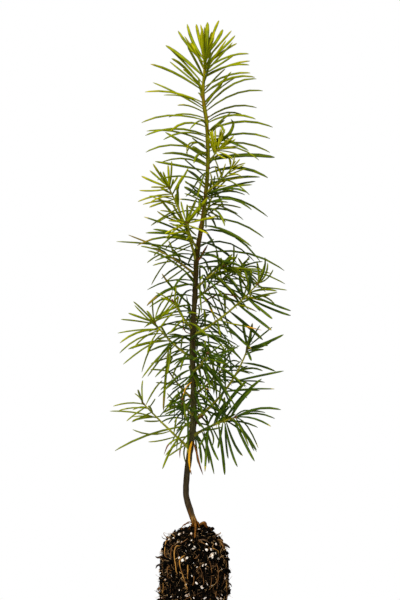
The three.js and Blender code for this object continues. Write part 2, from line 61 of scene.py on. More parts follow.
# Root ball, as in the part: a peat plug with a rounded shoulder that tapers to its foot. What is placed
# from the photo lies below the edge of its flat top.
SOIL_HEIGHT = 120.0
PLUG_TOP = SOIL_HEIGHT - 0.3
PLUG_RADIUS = 19.5
PLUG_LOW_RADIUS = 15.4
PLUG_FOOT_RADIUS = 13.8
PLUG_FOOT_EDGE = 6.0
PLUG_SEAT_RADIUS = 5.5
PLUG_EDGE = 119.6
SHOULDER_DEPTH = 30.0
SHOULDER_POWER = 2.6
TAPER_FROM = 85.0

# Stem: centre line over the soil as [sideways, depth, height] and girths, as in the part. The flare at
# its foot is slimmer here, and the root of its collar lies about 1 mm lower.
STEM_ROUTE = np.array([
    [0.9, 0, 0],
    [-1.7, 0.3, 7],
    [-4.4, 0.6, 17.5],
    [-3.1, 0.3, 35],
    [-0.5, -0.4, 56],
    [-0.3, -0.5, 77],
    [-0.9, 0.2, 99],
    [0.6, 0.6, 129],
    [1.7, 0.3, 150],
    [5.4, -0.3, 174],
    [7.6, -0.4, 199],
    [7.0, 0.2, 221],
    [5.0, 0.4, 237],
    [5.7, 0, 252],
])
STEM_HEIGHT = 252.0
STEM_GIRTH = 3.45
STEM_TIP_GIRTH = 1.5
STEM_TAPER_POWER = 1.45
FLARE = 0.1
FLARE_HEIGHT = 2.2
COLLAR_ROUTE = np.array([[0.9, -0.4, 0.3], [3.4, -0.9, 0.35], [5.6, -1.1, 1.35], [6.9, -1.1, -1.6]])
COLLAR_ROOT_RADIUS = 0.65
COLLAR_ROOT_SWELL = 0.5

# Leader needles, by the part's rule but as many and as slim as real ones
LEADER_MASSES = 8
LEADER_FROM = 64.0
LEADER_TO = 250.5
LEADER_PER_MM = 0.6
CROWDING = 1.25
CLEAR_ABOVE = 140.0
SIDEWAYS_SQUEEZE = 0.38
LEADER_SPREAD = (42.0, 88.0)
SPREAD_FADE = 55.0
LEADER_DROOP = 1.05
DROOP_FADE = 26.0
LEADER_LENGTH = (29.0, 36.0)
# The leader's tints at its tip and 120 mm below it: the darker foot is partly the needles' own colour and
# partly painted shade of the overhead light.
LEADER_TINTS_AND_SHADE = (5.9, 2.2)
FULL_GROWN_BELOW = 30.0
TIP_TWIG_LENGTH = 6.0
TIP_TWIG_GIRTH = 1.1
TIP_NEEDLES = 12
ROSETTE_SPREAD = (32.0, 6.0)
ROSETTE_LENGTH = (25.0, 20.5)
ROSETTE_DROOP = 0.06

NEEDLE_WIDTH = 1.34
LEADER_NEEDLE_WIDTH = 1.8
NEEDLE_THICKNESS = 0.85
CLEAR_WIDTH = 0.87
INNER_WIDTH = 0.82
INNER_CURL = 1.6
LIGHT_TURN = 0.85
TO_LIGHT = np.array([-0.24, -0.5, 0.83])
TO_FRONT_LIGHT = np.array([-0.2, -0.74, 0.64])
FOOT_SPREAD = 72.0
TIP_SPREAD = 38.0
SPREAD_JITTER = 24.0
SHARE_LEFT = 2
SMALL_NEEDLE = 0.6
SHOOT_TIP_GIRTH = 0.75

# Side shoots: height, tip from the stem, bow, bare share, girth, needles, longest needle, droop and tint.
# The tint counts along NEEDLE_TINTS, from the dark foot of the crown to its pale tip; the darker foot is
# partly the needles' own colour and partly painted shade of the overhead light.
SHOOTS = [
    ("low_left", 42.4, (-25.7, -10, 26.4), (0, 0, -0.5), 0.26, 1.5, 10, 20, 0.4, 4.2),
    ("low_right", 49.5, (23.8, -14, 12.1), (0, 0, 1), 0.24, 1.7, 34, 27, 0.85, 1.0),
    ("low_back", 52.3, (-6, 24, 14), (0, 0, -2), 0.26, 1.5, 23, 19, 0.9, 1.2),
    ("tall_right", 58.3, (30.2, -4, 41.3), (3.2, 0, -2.6), 0.24, 1.7, 37, 27, 0.5, 1.4),
    ("low_front", 61.6, (-6, -23, 11), (0, 0, -2), 0.26, 1.5, 15, 18, 0.9, 1.3),
    ("back_left_low", 69.9, (-15, 16, 16), (0, 0, -1.5), 0.26, 1.5, 10, 18, 1.2, 2.0),
    ("back_right_low", 72.6, (18, 18, 15), (0, 0, -1.5), 0.26, 1.5, 34, 24, 0.7, 1.2),
    ("front_right", 85.3, (8, -22, 12), (0, 0, -1.5), 0.26, 1.5, 36, 25, 0.8, 1.0),
    ("mid_left", 93, (-20.8, -12, 20.4), (0, 0, -2), 0.26, 1.6, 14, 26, 0.4, 3.8),
    ("mid_back", 97.4, (3, 25, 16), (0, 0, -2), 0.26, 1.5, 38, 26, 0.6, 1.8),
    ("mid_right", 105, (36, -8, 29.7), (0, 0, -2.6), 0.24, 1.6, 34, 28, 0.4, 2.7),
    ("left_inner", 108.4, (-11, -14, 17), (0, 0, -1), 0.28, 1.4, 14, 19, 0.8, 4.0),
    ("back_right", 124.9, (27.2, 13, 16), (0, 0, 1.5), 0.18, 1.4, 34, 25, 0.7, 2.6),
    ("right_inner", 130.4, (15.8, -10, 13.8), (0, 0, 1), 0.12, 1.4, 60, 21, 0.8, 2.6),
    ("back_left", 138.6, (-21, 12, 13), (0, 0, 1), 0.28, 1.4, 12, 18, 0.6, 4.2),
    ("upper_left", 145.8, (-15.1, -9, 41.3), (1.2, 0, 0), 0.3, 1.6, 38, 19, 0.2, 5.2),
    ("upper_front", 153, (-6.2, -17, 15.5), (0, 0, -2), 0.34, 1.3, 29, 17, 0.25, 5.0),
    ("upper_back", 166, (7, 17, 20), (0, 0, -1), 0.3, 1.3, 26, 18, 0.35, 4.4),
    ("upper_right", 184, (14.7, -6, 14), (0, 0, -1), 0.3, 1.2, 14, 13, 0.1, 6.8),
    ("top_front", 201.9, (5.1, -9, 5.5), (0, 0, -1), 0.8, 1.1, 5, 12, -0.2, 7.9),
]

# Shoots of lime wood, the height over the soil from which all are, and how many are the lower crown
LIME_SHOOTS = ("low_left", "mid_left", "mid_right", "left_inner")
LIME_ABOVE = 140.0
LOW_SHOOTS = 10

# Needles that stand clear of the crown in front view, by the limb that carries them, each placed one by one.
# A row of nine is as the photo shows it, in pixels: root [across, down], tip, middle, width, tint and side.
# The middle's first number is None where it lies halfway across. The side is -1 toward the viewer and 1 away
# from them. A row of eight is in millimetres: place on the limb (height over the soil for the leader, share
# of its length for a shoot), the tip from the root [across, away, up], how far the middle lifts off the
# straight line [across, up], width and tint. Width and tint are against the needle's neighbours, and DYING in
# place of the tint is a needle that browns from its tip.
DYING = 4
CLEAR_NEEDLES = {
    "leader": [
        (247.2, -21, 15.5, 17.5, -0.8, 1.7, 1.2, -1), (202, 84, 168, 47, None, 63.5, 0.9, -1, 1),
        (201, 91, 151, 64, None, 73.5, 1, 0, -1), (202, 92, 172, 59, None, 70, 1.1, -1, -1),
        (202, 88, 183, 69.5, None, 77, 1, 0, 1), (200, 63, 178, 31, 188.5, 46, 1, -1, 1),
        (256.5, -9.5, 20.5, 20, -1.1, -0.9, 1.1, -1), (202.5, 57, 196.5, 24, 199.3, 38, 1.1, 0, 1),
        (202, 103, 145, 92, None, 92.5, 1.1, 1, -1), (202, 110, 153, 82.5, None, 93.7, 0.75, 0, 1),
        (203, 113.5, 178, 105, None, 106, 0.75, 1, -1), (202, 121, 142, 123, None, 115.3, 1, 0, 1),
        (204, 127.5, 170, 132, None, 123, 0.95, 0, -1),
        (204, 135.5, 145, 136, None, 128.8, 1.3, -1, -1), (205, 143, 147, 131, None, 131.5, 1, 0, 1),
        (206, 160, 165, 132, None, 144.5, 1, -1, 1), (203, 154, 146, 152.5, None, 145, 1, 0, -1),
        (205, 164.5, 163, 154, None, 154.5, 1.1, -1, 1),
        (203, 171, 155, 161.5, None, 165.6, 1.1, -1, -1),
        (204, 178, 184, 159, None, 167.5, 1.2, -1, -1), (206, 167, 195, 158, None, 162, 1.1, -1, 1),
        (205, 195, 185, 183, None, 187.3, 1.5, -1, -1), (203, 201, 184, 187, None, 192.5, 1.2, -2, 1),
        (202, 204, 180, 199, None, 200, 1, -1, -1), (200, 241, 144, 216.5, None, 227, 1.1, -1, -1),
        (198, 246, 153, 229.5, None, 234.5, 1.2, -1, 1), (198, 240, 146, 233, None, 233.8, 1.2, 0, -1),
        (205, 150, 192, 138, None, 143, 1.2, -2, -1), (206, 157, 193, 146, None, 151, 1.2, -2, 1),
        (191, 262, 165, 257, None, 255.5, 1.1, -1, -1), (192, 270, 160, 257, None, 259, 1.1, -1, 1),
        (191, 281, 148, 251, None, 259.5, 1, 1, 1), (192, 286.5, 176, 280, None, 282.5, 1.2, -1, -1),
        (191, 284, 147, 306, None, 289.5, 1.2, 4, -1), (187, 308, 162, 274, None, 290, 1.1, 4, -1),
        (207, 52, 219, 20.5, 213.2, 34, 1.1, 0, 1), (258, 10, 18.5, 15.5, 1.5, 0.9, 1.6, -1),
        (208, 62, 231.5, 30.5, None, 44, 0.9, 1, 1), (256.8, 1.7, 9, 20.4, 0.3, 0.1, 1.7, -1),
        (255.8, 1, -10, 13, 0.1, 0.4, 1.2, -1), (253.7, 17, 19, 16.5, 1.2, 0.6, 1, -1),
        (208, 66.5, 236.5, 43.5, None, 52.2, 1, 1, 1), (207, 70, 249, 53.5, None, 56.5, 1.1, 0, -1),
        (207, 74.5, 234.5, 55, None, 64, 1.6, -1, -1), (207, 78, 249.5, 61.5, None, 66, 1.1, 0, 1),
        (206.5, 76.5, 249, 65, None, 66, 1, -1, -1), (205.5, 88, 250, 73.3, None, 75.5, 1.2, -1, -1),
        (206, 107, 231, 72, 217.5, 88, 1.6, -1, -1), (205, 94.5, 255, 77, None, 78.3, 1.2, 0, 1),
        (206, 109, 256, 78.5, None, 85, 1.1, -1, 1), (206.5, 112, 263, 91, None, 94, 1.1, -1, -1),
        (207, 119, 257, 107.5, None, 106.3, 1.1, -1, 1),
        (207.5, 123.5, 256, 119.5, None, 115.2, 1.2, -1, -1),
        (209, 133, 231, 113, None, 121.7, 1.6, -1, -1), (209, 131, 273, 127, None, 121.3, 1.2, -1, 1),
        (209, 143, 270, 139, None, 133.8, 1.2, -2, -1),
        (209, 139, 248, 150.5, None, 141.5, 1.1, -3, -1),
        (210, 147, 270, 152.5, None, 142.6, 1.2, -1, 1), (209, 161, 275, 157, None, 155, 1.7, -3, -1),
        (209, 174, 268, 178, None, 167.7, 1.4, -3, -1), (209, 185, 260, 177.5, None, 178, 1.3, -2, 1),
        (209, 195, 255, 181.5, None, 186, 1.2, -1, 1), (210, 193, 252, 185, None, 187, 0.95, -1, -1),
        (209, 196, 247, 193, None, 188.6, 1, -3, -1), (209, 198, 245, 195, None, 191.2, 1.3, -2, 1),
        (207, 205, 252, 210, None, 198.8, 1.15, -2, -1), (208, 203, 223, 201.5, None, 201, 1, -2, -1),
        (206, 211.5, 243, 220, None, 209.3, 1.1, -2, 1), (204, 220, 264, 238, None, 221.5, 1.1, -1, -1),
        (203, 231, 260, 261, None, 234.7, 1.1, -2, -1), (201, 246, 254, 261, None, 242.5, 1.1, -2, 1),
        (203, 254.5, 284, 271, None, 252.7, 1.1, -1, 1), (201, 265, 241, 267, None, 261, 1.2, -2, -1),
        (202, 248, 214, 239, 208, 242, 1, -2, -1), (203, 256, 216, 258, None, 255, 1.1, -2, -1),
        (207, 103, 222, 84, None, 92, 1.3, -1, 1), (208, 137, 224, 120, None, 127, 1.2, -2, 1),
        (187, 425, 115, 451, None, 434, 1.1, 1, -1), (155, -33.4, -3, 0.1, 0, 4.6, 0.9, 4),
        (151, -44.5, 5, 5.8, 0, 1.2, 0.7, 1), (146, -37.4, 2, 14.6, 0, 0, 0.8, 4),
        (93, 2.9, -4, -17.6, 0.3, 0, 0.9, -2), (90, 4.8, -5, -16, 0.3, 0, 0.8, -2),
        (81, 3, -4.5, -15.5, 0.2, 0, 0.9, -2), (74, 5, -14, -9.5, 0.2, 0.2, 0.9, -2),
        (98, 8, -15, -6, -1.6, 1.2, 1, -1), (86, -5, -14, -7, 1.6, 0.6, 0.9, 0),
        (112, 6.5, -16, -4.5, -1.8, 1, 0.9, 0), (70, 3.6, -6, -14.5, -0.8, 0, 0.9, -1),
        (104, 9, -16, 3, -2, 0.8, 0.9, -2), (63, 6, -13, -8, -1.2, 0.6, 0.9, -2),
        (179.3, -11, -20, 11.6, -0.3, 1.2, 1.4, -2), (187.4, -10.6, 20, 8.4, -0.4, 1.2, 1.3, -3),
    ],
    "upper_left": [
        (168, 187, 153, 164, None, 175.3, 1.2, 1, -1), (167, 186, 150, 170, None, 177.5, 0.9, 0, 1),
        (168, 186, 160.5, 171, None, 179, 1.3, 0, -1), (170, 187, 168.5, 165, 169, 176, 1, 1, 1),
        (171, 187, 171.5, 160.5, 171, 175, 1.2, 0, -1), (172, 187, 178, 175.5, 175.5, 181, 1, 1, 1),
        (174, 193, 188, 168, 181.5, 180, 1.1, 0, -1), (165, 187, 141, 176.5, None, 181.7, 1.1, 1, 1),
        (166, 189, 151, 187, None, 187, 1, 2, -1), (167, 190, 139.5, 190, None, 190.5, 0.9, 2, 1),
        (170, 195, 138, 202, None, 196.5, 1.1, 1, -1), (181, 203, 143, 204.5, None, 201, 1, 1, 1),
        (169, 202, 149, 207, None, 203.5, 1, 1, -1), (176, 196, 151, 202, None, 197, 0.9, 2, -1),
        (182, 207, 151, 226, None, 215.5, 1.1, 0, 1), (180, 224, 157, 211, None, 218, 1, 1, -1),
        (182, 231, 160, 199, None, 212.5, 1.2, -1, -1), (182, 226, 172, 203, 177.5, 213, 1, 1, 1),
    ],
    "upper_front": [
        (187, 220, 187.5, 204, 187.3, 212, 1.5, 0, -1), (188, 221, 196, 199, 191.5, 210, 1.5, -1, 1),
        (189, 222, 208, 198, None, 209, 1.8, 0, -1), (186, 224, 216, 217, None, 220, 1.5, 1, -1),
        (187, 225, 208, 234, None, 229, 1.1, 2, -1), (186, 226, 197, 236, None, 231, 1.3, 1, 1),
        (183, 226, 165, 234, None, 229, 1, 2, -1), (184, 221, 176, 222, None, 220, 1, 0, -1),
        (184, 219, 181, 201, 183, 210, 1, 1, 1), (189, 219, 202, 203, 195, 211, 1.2, 1, 1),
    ],
    "low_left": [
        (143.5, 402, 138, 389.5, 140.3, 396, 1.2, 0, -1), (144, 400, 143, 380.5, 142, 390, 1, 1, 1),
        (145, 402, 135, 394, None, 398, 0.8, 1, 1), (146, 403, 113, 406, None, 403, 1, 1, -1),
        (150, 407, 119, 410, None, 407.3, 1, 1, 1), (158, 417, 110, 411, None, 412.3, 1, 0, -1),
        (152, 407, 133, 410, None, 407, 1, 1, 1), (146, 407, 126, 421, None, 413, 1, 1, -1),
        (153, 411, 132, 422.5, None, 417, 1.2, -1, -1), (160, 421, 144.5, 421, None, 421.5, 1.4, 0, -1),
        (158, 418, 133, 417, None, 416, 0.8, 1, 1), (170, 431, 133, 429.5, None, 434.2, 1, 0, -1),
        (175, 437, 148, 441.5, None, 440, 0.9, 1, 1), (148, 404, 162.5, 381, 154.5, 390, 1, 0, 1),
        (150, 407, 155, 399, None, 403, 1.1, -1, -1), (181, 443, 165, 456, None, 447, 1, 0, -1),
        (184, 446, 169, 456, None, 450.5, 1.2, 0, -1),
    ],
    "low_right": [
        (235, 413.5, 280.5, 410, None, 408.7, 1.2, -1, -1),
        (234, 413.5, 265, 413, None, 411.5, 1, -1, 1), (235, 414, 275, 418.5, None, 413.3, 1.1, 0, 1),
        (235, 416, 271, 426, None, 418, 1.1, 0, -1), (234, 417, 258.5, 448, None, 424.5, 0.9, 1, 1),
        (233, 418, 254, 461, 243.5, 441, 1.3, 0, -1), (226, 421, 243, 456, 234, 443, 1.2, -1, 1),
        (225, 422, 237.5, 467, 230.5, 448, 1.2, -1, -1), (219, 425, 225, 475, 222.5, 452, 1.4, -1, -1),
        (226, 424, 228, 459, 226, 444, 1, -1, 1), (224, 423, 218.5, 448, 220.5, 437, 1.1, 0, -1),
        (0.34, 6.5, -18.5, -15.5, -0.3, -1.4, 1.1, 0), (205, 433, 209, 464, 207.5, 450, 1.1, -1, 1),
        (0.13, 2.2, -18.5, -14.5, 0.6, -1.6, 1, -1), (0.08, 1.6, 18, -18.5, -0.1, -1.6, 1, -1),
        (212, 428, 219, 442, 216, 435, 0.8, 1, 1), (236, 416, 254, 451, None, 433, 1, 0, 1),
        (0.52, 17.5, -10, 25, -0.1, 2.1, 1.8, -2), (0.74, 20.5, -4, 23.5, -0.4, 1.8, 1.5, -2),
        (229, 415, 252, 390, None, 402, 1.4, -1, -1), (0.34, 12.5, -4, 8.6, 0.3, -0.3, 1.5, 5),
        (0.5, 12, -3, 6.4, 0.4, 0.3, 1.3, 3), (0.24, 10.5, -12, 3.2, -0.2, -0.4, 1.1, 2),
        (0.16, 8.5, -13, 5.4, -0.4, 0.4, 1, -1), (0.42, -6.5, -14, -10.5, 0.3, 0.6, 1, 0),
    ],
    "mid_left": [
        (153, 321, 133.5, 302, None, 310.7, 1.2, 0, -1), (152, 322, 128, 313, None, 317.2, 1.2, 1, 1),
        (153, 326, 121, 319, None, 320.8, 1, 0, -1), (154, 320, 147, 311, None, 315.5, 1.2, 0, 1),
        (154, 319, 152.5, 299, 152.5, 309, 0.9, 0, -1), (154.5, 319, 168, 298, 160, 304.5, 1, 1, 1),
        (161, 316, 172, 291, 167, 304, 1.1, 0, -1), (169, 312, 178, 296, 173, 303, 1, 1, 1),
        (160, 318, 181, 303.5, None, 310, 1.1, 1, -1), (157, 331, 118, 333, None, 330, 0.9, 0, 1),
        (158, 332, 120, 343, None, 332, 1.3, 1, -1), (161, 336, 120, 353, None, 337.5, 1.2, 0, -1),
        (158, 332, 133, 349, None, 336.5, 0.9, 2, 1), (166, 337, 123.5, 364.5, None, 348, 1.2, 0, -1),
        (161, 336, 142, 372, None, 346, 1, 1, 1), (175, 343, 142, 378.5, None, 357.5, 1.2, 0, -1),
        (173, 345, 148, 376, None, 359, 1.1, -1, 1), (156, 332, 147, 353.5, None, 341, 1, 0, -1),
        (170, 343, 167, 374, 169.5, 359, 1.3, -1, -1), (168, 342, 163.5, 411, 165.5, 380, 1.55, 4, 1),
    ],
    "mid_right": [
        (254, 299, 291, 311, None, 304, 1.5, -2, -1), (252, 303, 291, 315.5, None, 308.5, 1.6, -2, 1),
        (252, 303, 272.5, 318.5, None, 310, 1.3, -1, -1),
        (255, 298, 275, 303.5, None, 296.3, 1.1, 0, 1), (241, 308, 271.5, 330, None, 318, 1.6, -2, -1),
        (232, 313.5, 263, 339.5, None, 325.5, 1.9, -2, 1),
        (222, 321, 251, 349, None, 335.5, 1.6, -2, -1), (260, 286, 265, 257, 264, 271, 1.3, 0, -1),
        (261, 286, 267, 263, 265, 275, 0.9, 1, 1), (261, 286, 273, 270.5, None, 279, 1.2, 0, -1),
        (259, 284, 257, 262, 258.7, 273, 1.1, 1, 1), (247, 302, 228, 276, None, 289, 1.2, -2, -1),
        (246, 302, 239, 275, 241, 288, 1.1, -2, 1), (250, 299, 248, 273, 250, 286, 1.3, -2, -1),
        (257, 290, 246, 270, None, 280, 1.2, -1, -1), (253, 296, 238, 257, 246, 273, 1.2, 0, 1),
    ],
    "tall_right": [
        (247, 347, 243.5, 324, 245, 335, 1.3, 0, -1), (248, 345, 252.5, 323, 250.5, 335, 1.3, 0, 1),
        (249, 346, 260, 325, 254, 335, 1.2, -1, -1), (250, 346, 272, 327, None, 336, 0.9, 1, 1),
        (248, 350, 283, 335, None, 343.3, 2, 0, -1), (249, 352, 271, 341, None, 347, 1.5, -1, 1),
        (229, 381, 283.5, 371, None, 376.5, 1.2, -1, -1), (228, 382, 265, 382, None, 380.5, 0.8, 0, 1),
        (224, 391, 274, 389, None, 389, 1, -1, -1), (223, 391, 260, 390.5, None, 390, 1.2, -2, 1),
        (247, 345, 227, 331, None, 336, 1.3, -1, -1), (246, 350, 251, 361, 249, 355, 1.2, -1, -1),
    ],
    "right_inner": [
        (225, 272, 262, 269.5, None, 268.7, 0.9, 2, -1), (222, 273, 285, 284, None, 271, 0.9, 1, 1),
        (212, 277, 241, 268, None, 271.5, 1.8, 0, -1), (205, 279, 231, 270, None, 274, 1.8, -1, 1),
        (227, 270, 237.5, 254, 233, 262, 1.3, 0, -1), (224, 272, 230, 259, None, 265, 1.1, 0, 1),
    ],
    "top_front": [
        (0.9, -2.4, 4, 13.6, -0.4, 0, 1.2, 0), (0.86, -3.4, 2, 11.8, -0.5, 0, 1, 0),
        (0.82, -3.8, -4, 9.6, -0.5, 0, 1, -1), (0.95, -0.9, 1, 13.2, -0.2, 0, 1.1, 1),
        (0.97, 2.6, 5, 12.2, 0, 0, 1, 1), (1, 3.8, 2, 11.6, -0.2, 0.1, 1, 1),
        (0.95, 3, -6, 10, 0.1, 0, 0.9, 0), (1, 9, -3, 8, 0.2, 0.2, 1, 0), (1, 10, 3, 6, 0.2, 0.3, 1, 0),
        (1, 11.2, -3, 2.2, 0.2, 0.5, 1, 1), (1, 10.8, 4, 1, 0.2, 0.4, 1, 0),
        (0.97, 12.5, -1, -2.6, 0.1, 0.7, 1, 2), (0.93, 9, -4, -3.8, 0, 0.5, 1, 2),
        # The needles with tints -3, -5 and -4 here, in the tuft's middle, are darker as painted shade.
        (1, 5.6, -5, 6.4, 0.1, 0, 1.1, -3), (0.8, 1, -3, 6, 0, 0, 1.2, -5),
        (0.7, -2, 3, 7.2, -0.2, 0, 1.2, -4), (0.9, -3, 5, 12.6, -0.3, 0, 1.1, 1),
        (0.88, -1.8, -2, 11, -0.3, 0, 1.1, 0), (0.98, 3.4, 6, 9.2, 0, 0, 1.1, 1),
        (1, 7, -5, 6.2, 0.3, 0, 1.1, 0), (0.8, -3.1, 3, 12.5, -0.2, 0, 0.9, 0),
        (0.85, -1.9, 4, 13, -0.1, 0, 0.9, 1), (0.9, -1.1, 4, 11.4, 0, 0, 0.9, 1),
        (0.97, 1.8, 3, 12.2, 0.1, 0, 0.9, 1), (1, 2.9, 4, 12.2, 0.1, 0, 0.9, 1),
        (1, 4.3, 3, 11.5, 0.2, 0, 0.9, 1), (1, 8.9, 2, 7, 0.2, 0.2, 0.9, 1),
        (1, 9.6, 3, 5.2, 0.2, 0.3, 0.9, 1), (1, 6.4, -3, 2, 0.1, 0.1, 0.9, 0),
        (0.95, 8.9, 2, -4.8, 0, 0.4, 0.9, 1), (0.84, -4.4, -2, 8.2, -0.2, 0, 0.9, -1),
        (0.75, -1.6, 3, 9.2, -0.1, 0, 1, -2),
    ],
    "upper_right": [
        (0.98, 4.1, -3, 4.9, 0.1, 0, 1.1, 1), (0.98, 1.4, 3, 6.4, 0, 0, 1.1, 1),
        (0.95, -1.4, -4, 5.4, 0, 0, 1, 1), (1, 6.9, 3, 2.2, 0.1, 0.2, 1, 0),
        (0.78, 9.2, -3, 5.1, 0.1, 0.3, 1.1, 1), (0.8, 7.4, -4, -1.2, 0.1, 0.5, 1.1, 0),
        (0.6, 13.1, -2, 5.9, 0.1, 0.5, 1.1, 1), (0.45, 14.4, 3, 2.8, 0.2, 0.6, 1.2, 0),
        (0.55, 2.6, -5, 9.4, 0, 0, 1.2, -1), (0.5, -2.2, -4, 8.2, -0.1, 0, 1.2, -1),
        (0.7, 5.6, -5, 6.2, 0, 0.1, 1.2, -1), (0.4, 4.6, 4, 9, 0, 0.1, 1.2, -2),
    ],
}
# Length of those needles by limb, and how wide a limb's are where they aren't as wide as the others.
# A needle's depth is worked out as no less than LEAST_DEPTH, and DEPTH_KEPT of it is kept, because a
# bent needle reaches less far. Each limb is searched for their roots at so many points.
CLEAR_LENGTHS = {
    "leader": 34.0, "upper_left": 18.05, "upper_front": 16.15, "low_left": 24.7, "low_right": 29.45,
    "mid_left": 24.7, "mid_right": 26.6, "tall_right": 25.65, "right_inner": 19.95,
}
CLEAR_GIRTHS = {"upper_left": 1.1, "low_left": 0.85, "mid_left": 0.9}
LEAST_DEPTH = 3.0
DEPTH_KEPT = 0.8
LEADER_SAMPLES = 2181
SHOOT_SAMPLES = 400

# Needles on the leader that curl: path knots over the soil, width, and the tints of their inner two
# thirds and of their outer third
CURLED_NEEDLES = [
    ([(7.4, -0.4, 207.6), (11.6, -3.0, 211), (16.3, -4.6, 213.6), (19.8, -5.4, 217), (21.5, -5.6, 221.6),
      (20.1, -5.2, 224.4)], 1.9, 3, 4),
    ([(7.1, -0.4, 207.4), (4.0, -3, 210), (1.6, -4.2, 211.6), (-2.2, -4.8, 211), (-3.9, -5, 208),
      (-3.2, -5, 204.4)], 1.0, 6, 7),
    ([(7.5, -0.1, 198.6), (12, 4, 203.6), (17, 6, 204.4), (20, 6.6, 201.4), (20.2, 6.4, 197.6)], 1.2, 4, 5),
    ([(-0.6, 0.8, 64), (6, 3, 58), (10.6, 4, 49), (10, 3.4, 42.4)], 1.1, 2, 3),
    ([(-0.4, -0.6, 58), (-5, -3, 56), (-8.8, -4.4, 49), (-9.6, -4, 42)], 1.1, 3, 3),
    ([(0, 0.6, 72), (7, 2, 70), (12, 3.4, 62.4), (12.4, 3.6, 54)], 1.1, 2, 3),
    ([(-0.6, 0.2, 76), (-6.2, 1, 75), (-10.4, 1.6, 68.4), (-10.8, 1.8, 60.6)], 1.1, 3, 3),
    ([(-0.8, 0, 88), (5, -1.6, 87), (9.8, -3, 80.8), (11, -3.4, 72.6)], 1.1, 2, 3),
    ([(-0.8, -0.4, 92), (-5.6, -3, 92.4), (-9.8, -4.4, 88), (-12.6, -5, 80.2)], 1.1, 3, 4),
    ([(-0.6, 0.6, 100), (5.4, 2, 100.4), (9.2, 3, 95.4), (9, 3, 87.6)], 1.1, 2, 3),
    ([(-0.4, 0.6, 52), (3.6, 2.4, 47), (6.2, 3.4, 40), (6.8, 3.6, 33)], 1.0, 2, 3),
    ([(-0.8, 0.4, 50), (-4.4, 2, 45), (-5.6, 2.6, 39), (-3.4, 2.4, 30.5)], 0.9, 3, 4),
    ([(-0.6, 0.8, 54), (1.8, 3, 50), (3, 4, 43.6), (3.4, 4.2, 36.4)], 0.9, 2, 2),
    ([(-0.6, 0.6, 66), (4.4, 2.6, 63.4), (7.4, 3.8, 57.4), (7.6, 4, 50)], 1.0, 1, 2),
    ([(-0.6, 0.8, 82), (3.4, 4, 80), (6.2, 5.4, 75), (6, 5.6, 68)], 1.0, 1, 2),
    ([(-0.9, 0.2, 101.5), (-2.4, -1.6, 103), (2, -5, 106.2), (9, -8, 106), (17, -10, 103),
      (24, -11, 98.8)], 1.3, 1, 2),
    ([(-0.4, 0.4, 65.6), (-2.6, -1.4, 65.6), (0.6, -3.6, 64.6), (4.8, -4.6, 63.6)], 1.0, 2, 2),
    ([(-0.8, 0.2, 94), (-4.4, -2.4, 95.6), (-1.2, -4.6, 94.2), (4, -6, 90.6), (8.6, -6.6, 88)], 1.1, 1, 2),
    ([(0.2, 0.4, 117.4), (-3.6, -1.6, 118), (-0.4, -4.0, 118.2), (3.4, -5, 117.2)], 0.8, 5, 5),
    ([(-0.8, 0.2, 89), (-2.6, -1.8, 88), (-0.2, -3.4, 83.4), (2.2, -3.6, 77.4)], 0.9, 2, 3),
]

# Roots that show on the front of the root ball, each by points [across, down] in the photo's pixels,
# its girth, and whether it is the paler or the browner kind
FRONT_ROOTS = [
    ([(166.5, 539), (165, 545), (164.5, 551), (165, 558)], 0.7, 0),
    ([(172.5, 544), (171, 550), (170.5, 555), (171.5, 560)], 0.6, 1),
    ([(178, 545), (175.5, 547), (174.5, 552), (174.5, 560), (175.5, 566), (176.5, 576)], 0.8, 0),
    ([(183.5, 555), (180.5, 559), (179.5, 563), (180.5, 569), (183, 577), (185.5, 584),
      (188, 593)], 0.75, 0),
    ([(187.5, 563), (187.8, 571), (187.3, 580)], 0.8, 0),
    ([(194, 576), (193.5, 582), (192.5, 586)], 0.6, 1),
    ([(200, 567), (202, 573), (203.5, 579), (204, 586)], 0.5, 1),
    ([(209, 560), (211, 566), (212, 574)], 0.55, 1),
    ([(215.5, 561), (218, 570), (218, 578), (217.5, 587), (216, 594), (215, 601)], 0.65, 1),
    ([(225, 573), (224, 579), (223, 585)], 0.5, 1),
    ([(220.5, 541), (222, 545), (223.5, 549)], 0.6, 0),
    ([(226.5, 580), (227, 590), (226.5, 600)], 0.6, 0),
    ([(167, 566), (167.5, 572), (167, 578)], 0.5, 1),
    ([(188, 538), (184, 541), (180, 543.5)], 0.5, 1),
    ([(200, 549), (199.5, 554), (197, 557), (194, 559)], 0.5, 1),
    ([(199, 541), (203, 543), (206, 544.5)], 0.5, 1),
    ([(162.5, 580), (163, 588), (161.5, 597)], 0.6, 0),
    ([(213, 548), (217, 550), (219.5, 553)], 0.5, 0),
    ([(212, 576), (211, 582), (210, 588)], 0.5, 1),
    ([(170, 580), (170.3, 586), (170, 592)], 0.5, 1),
]

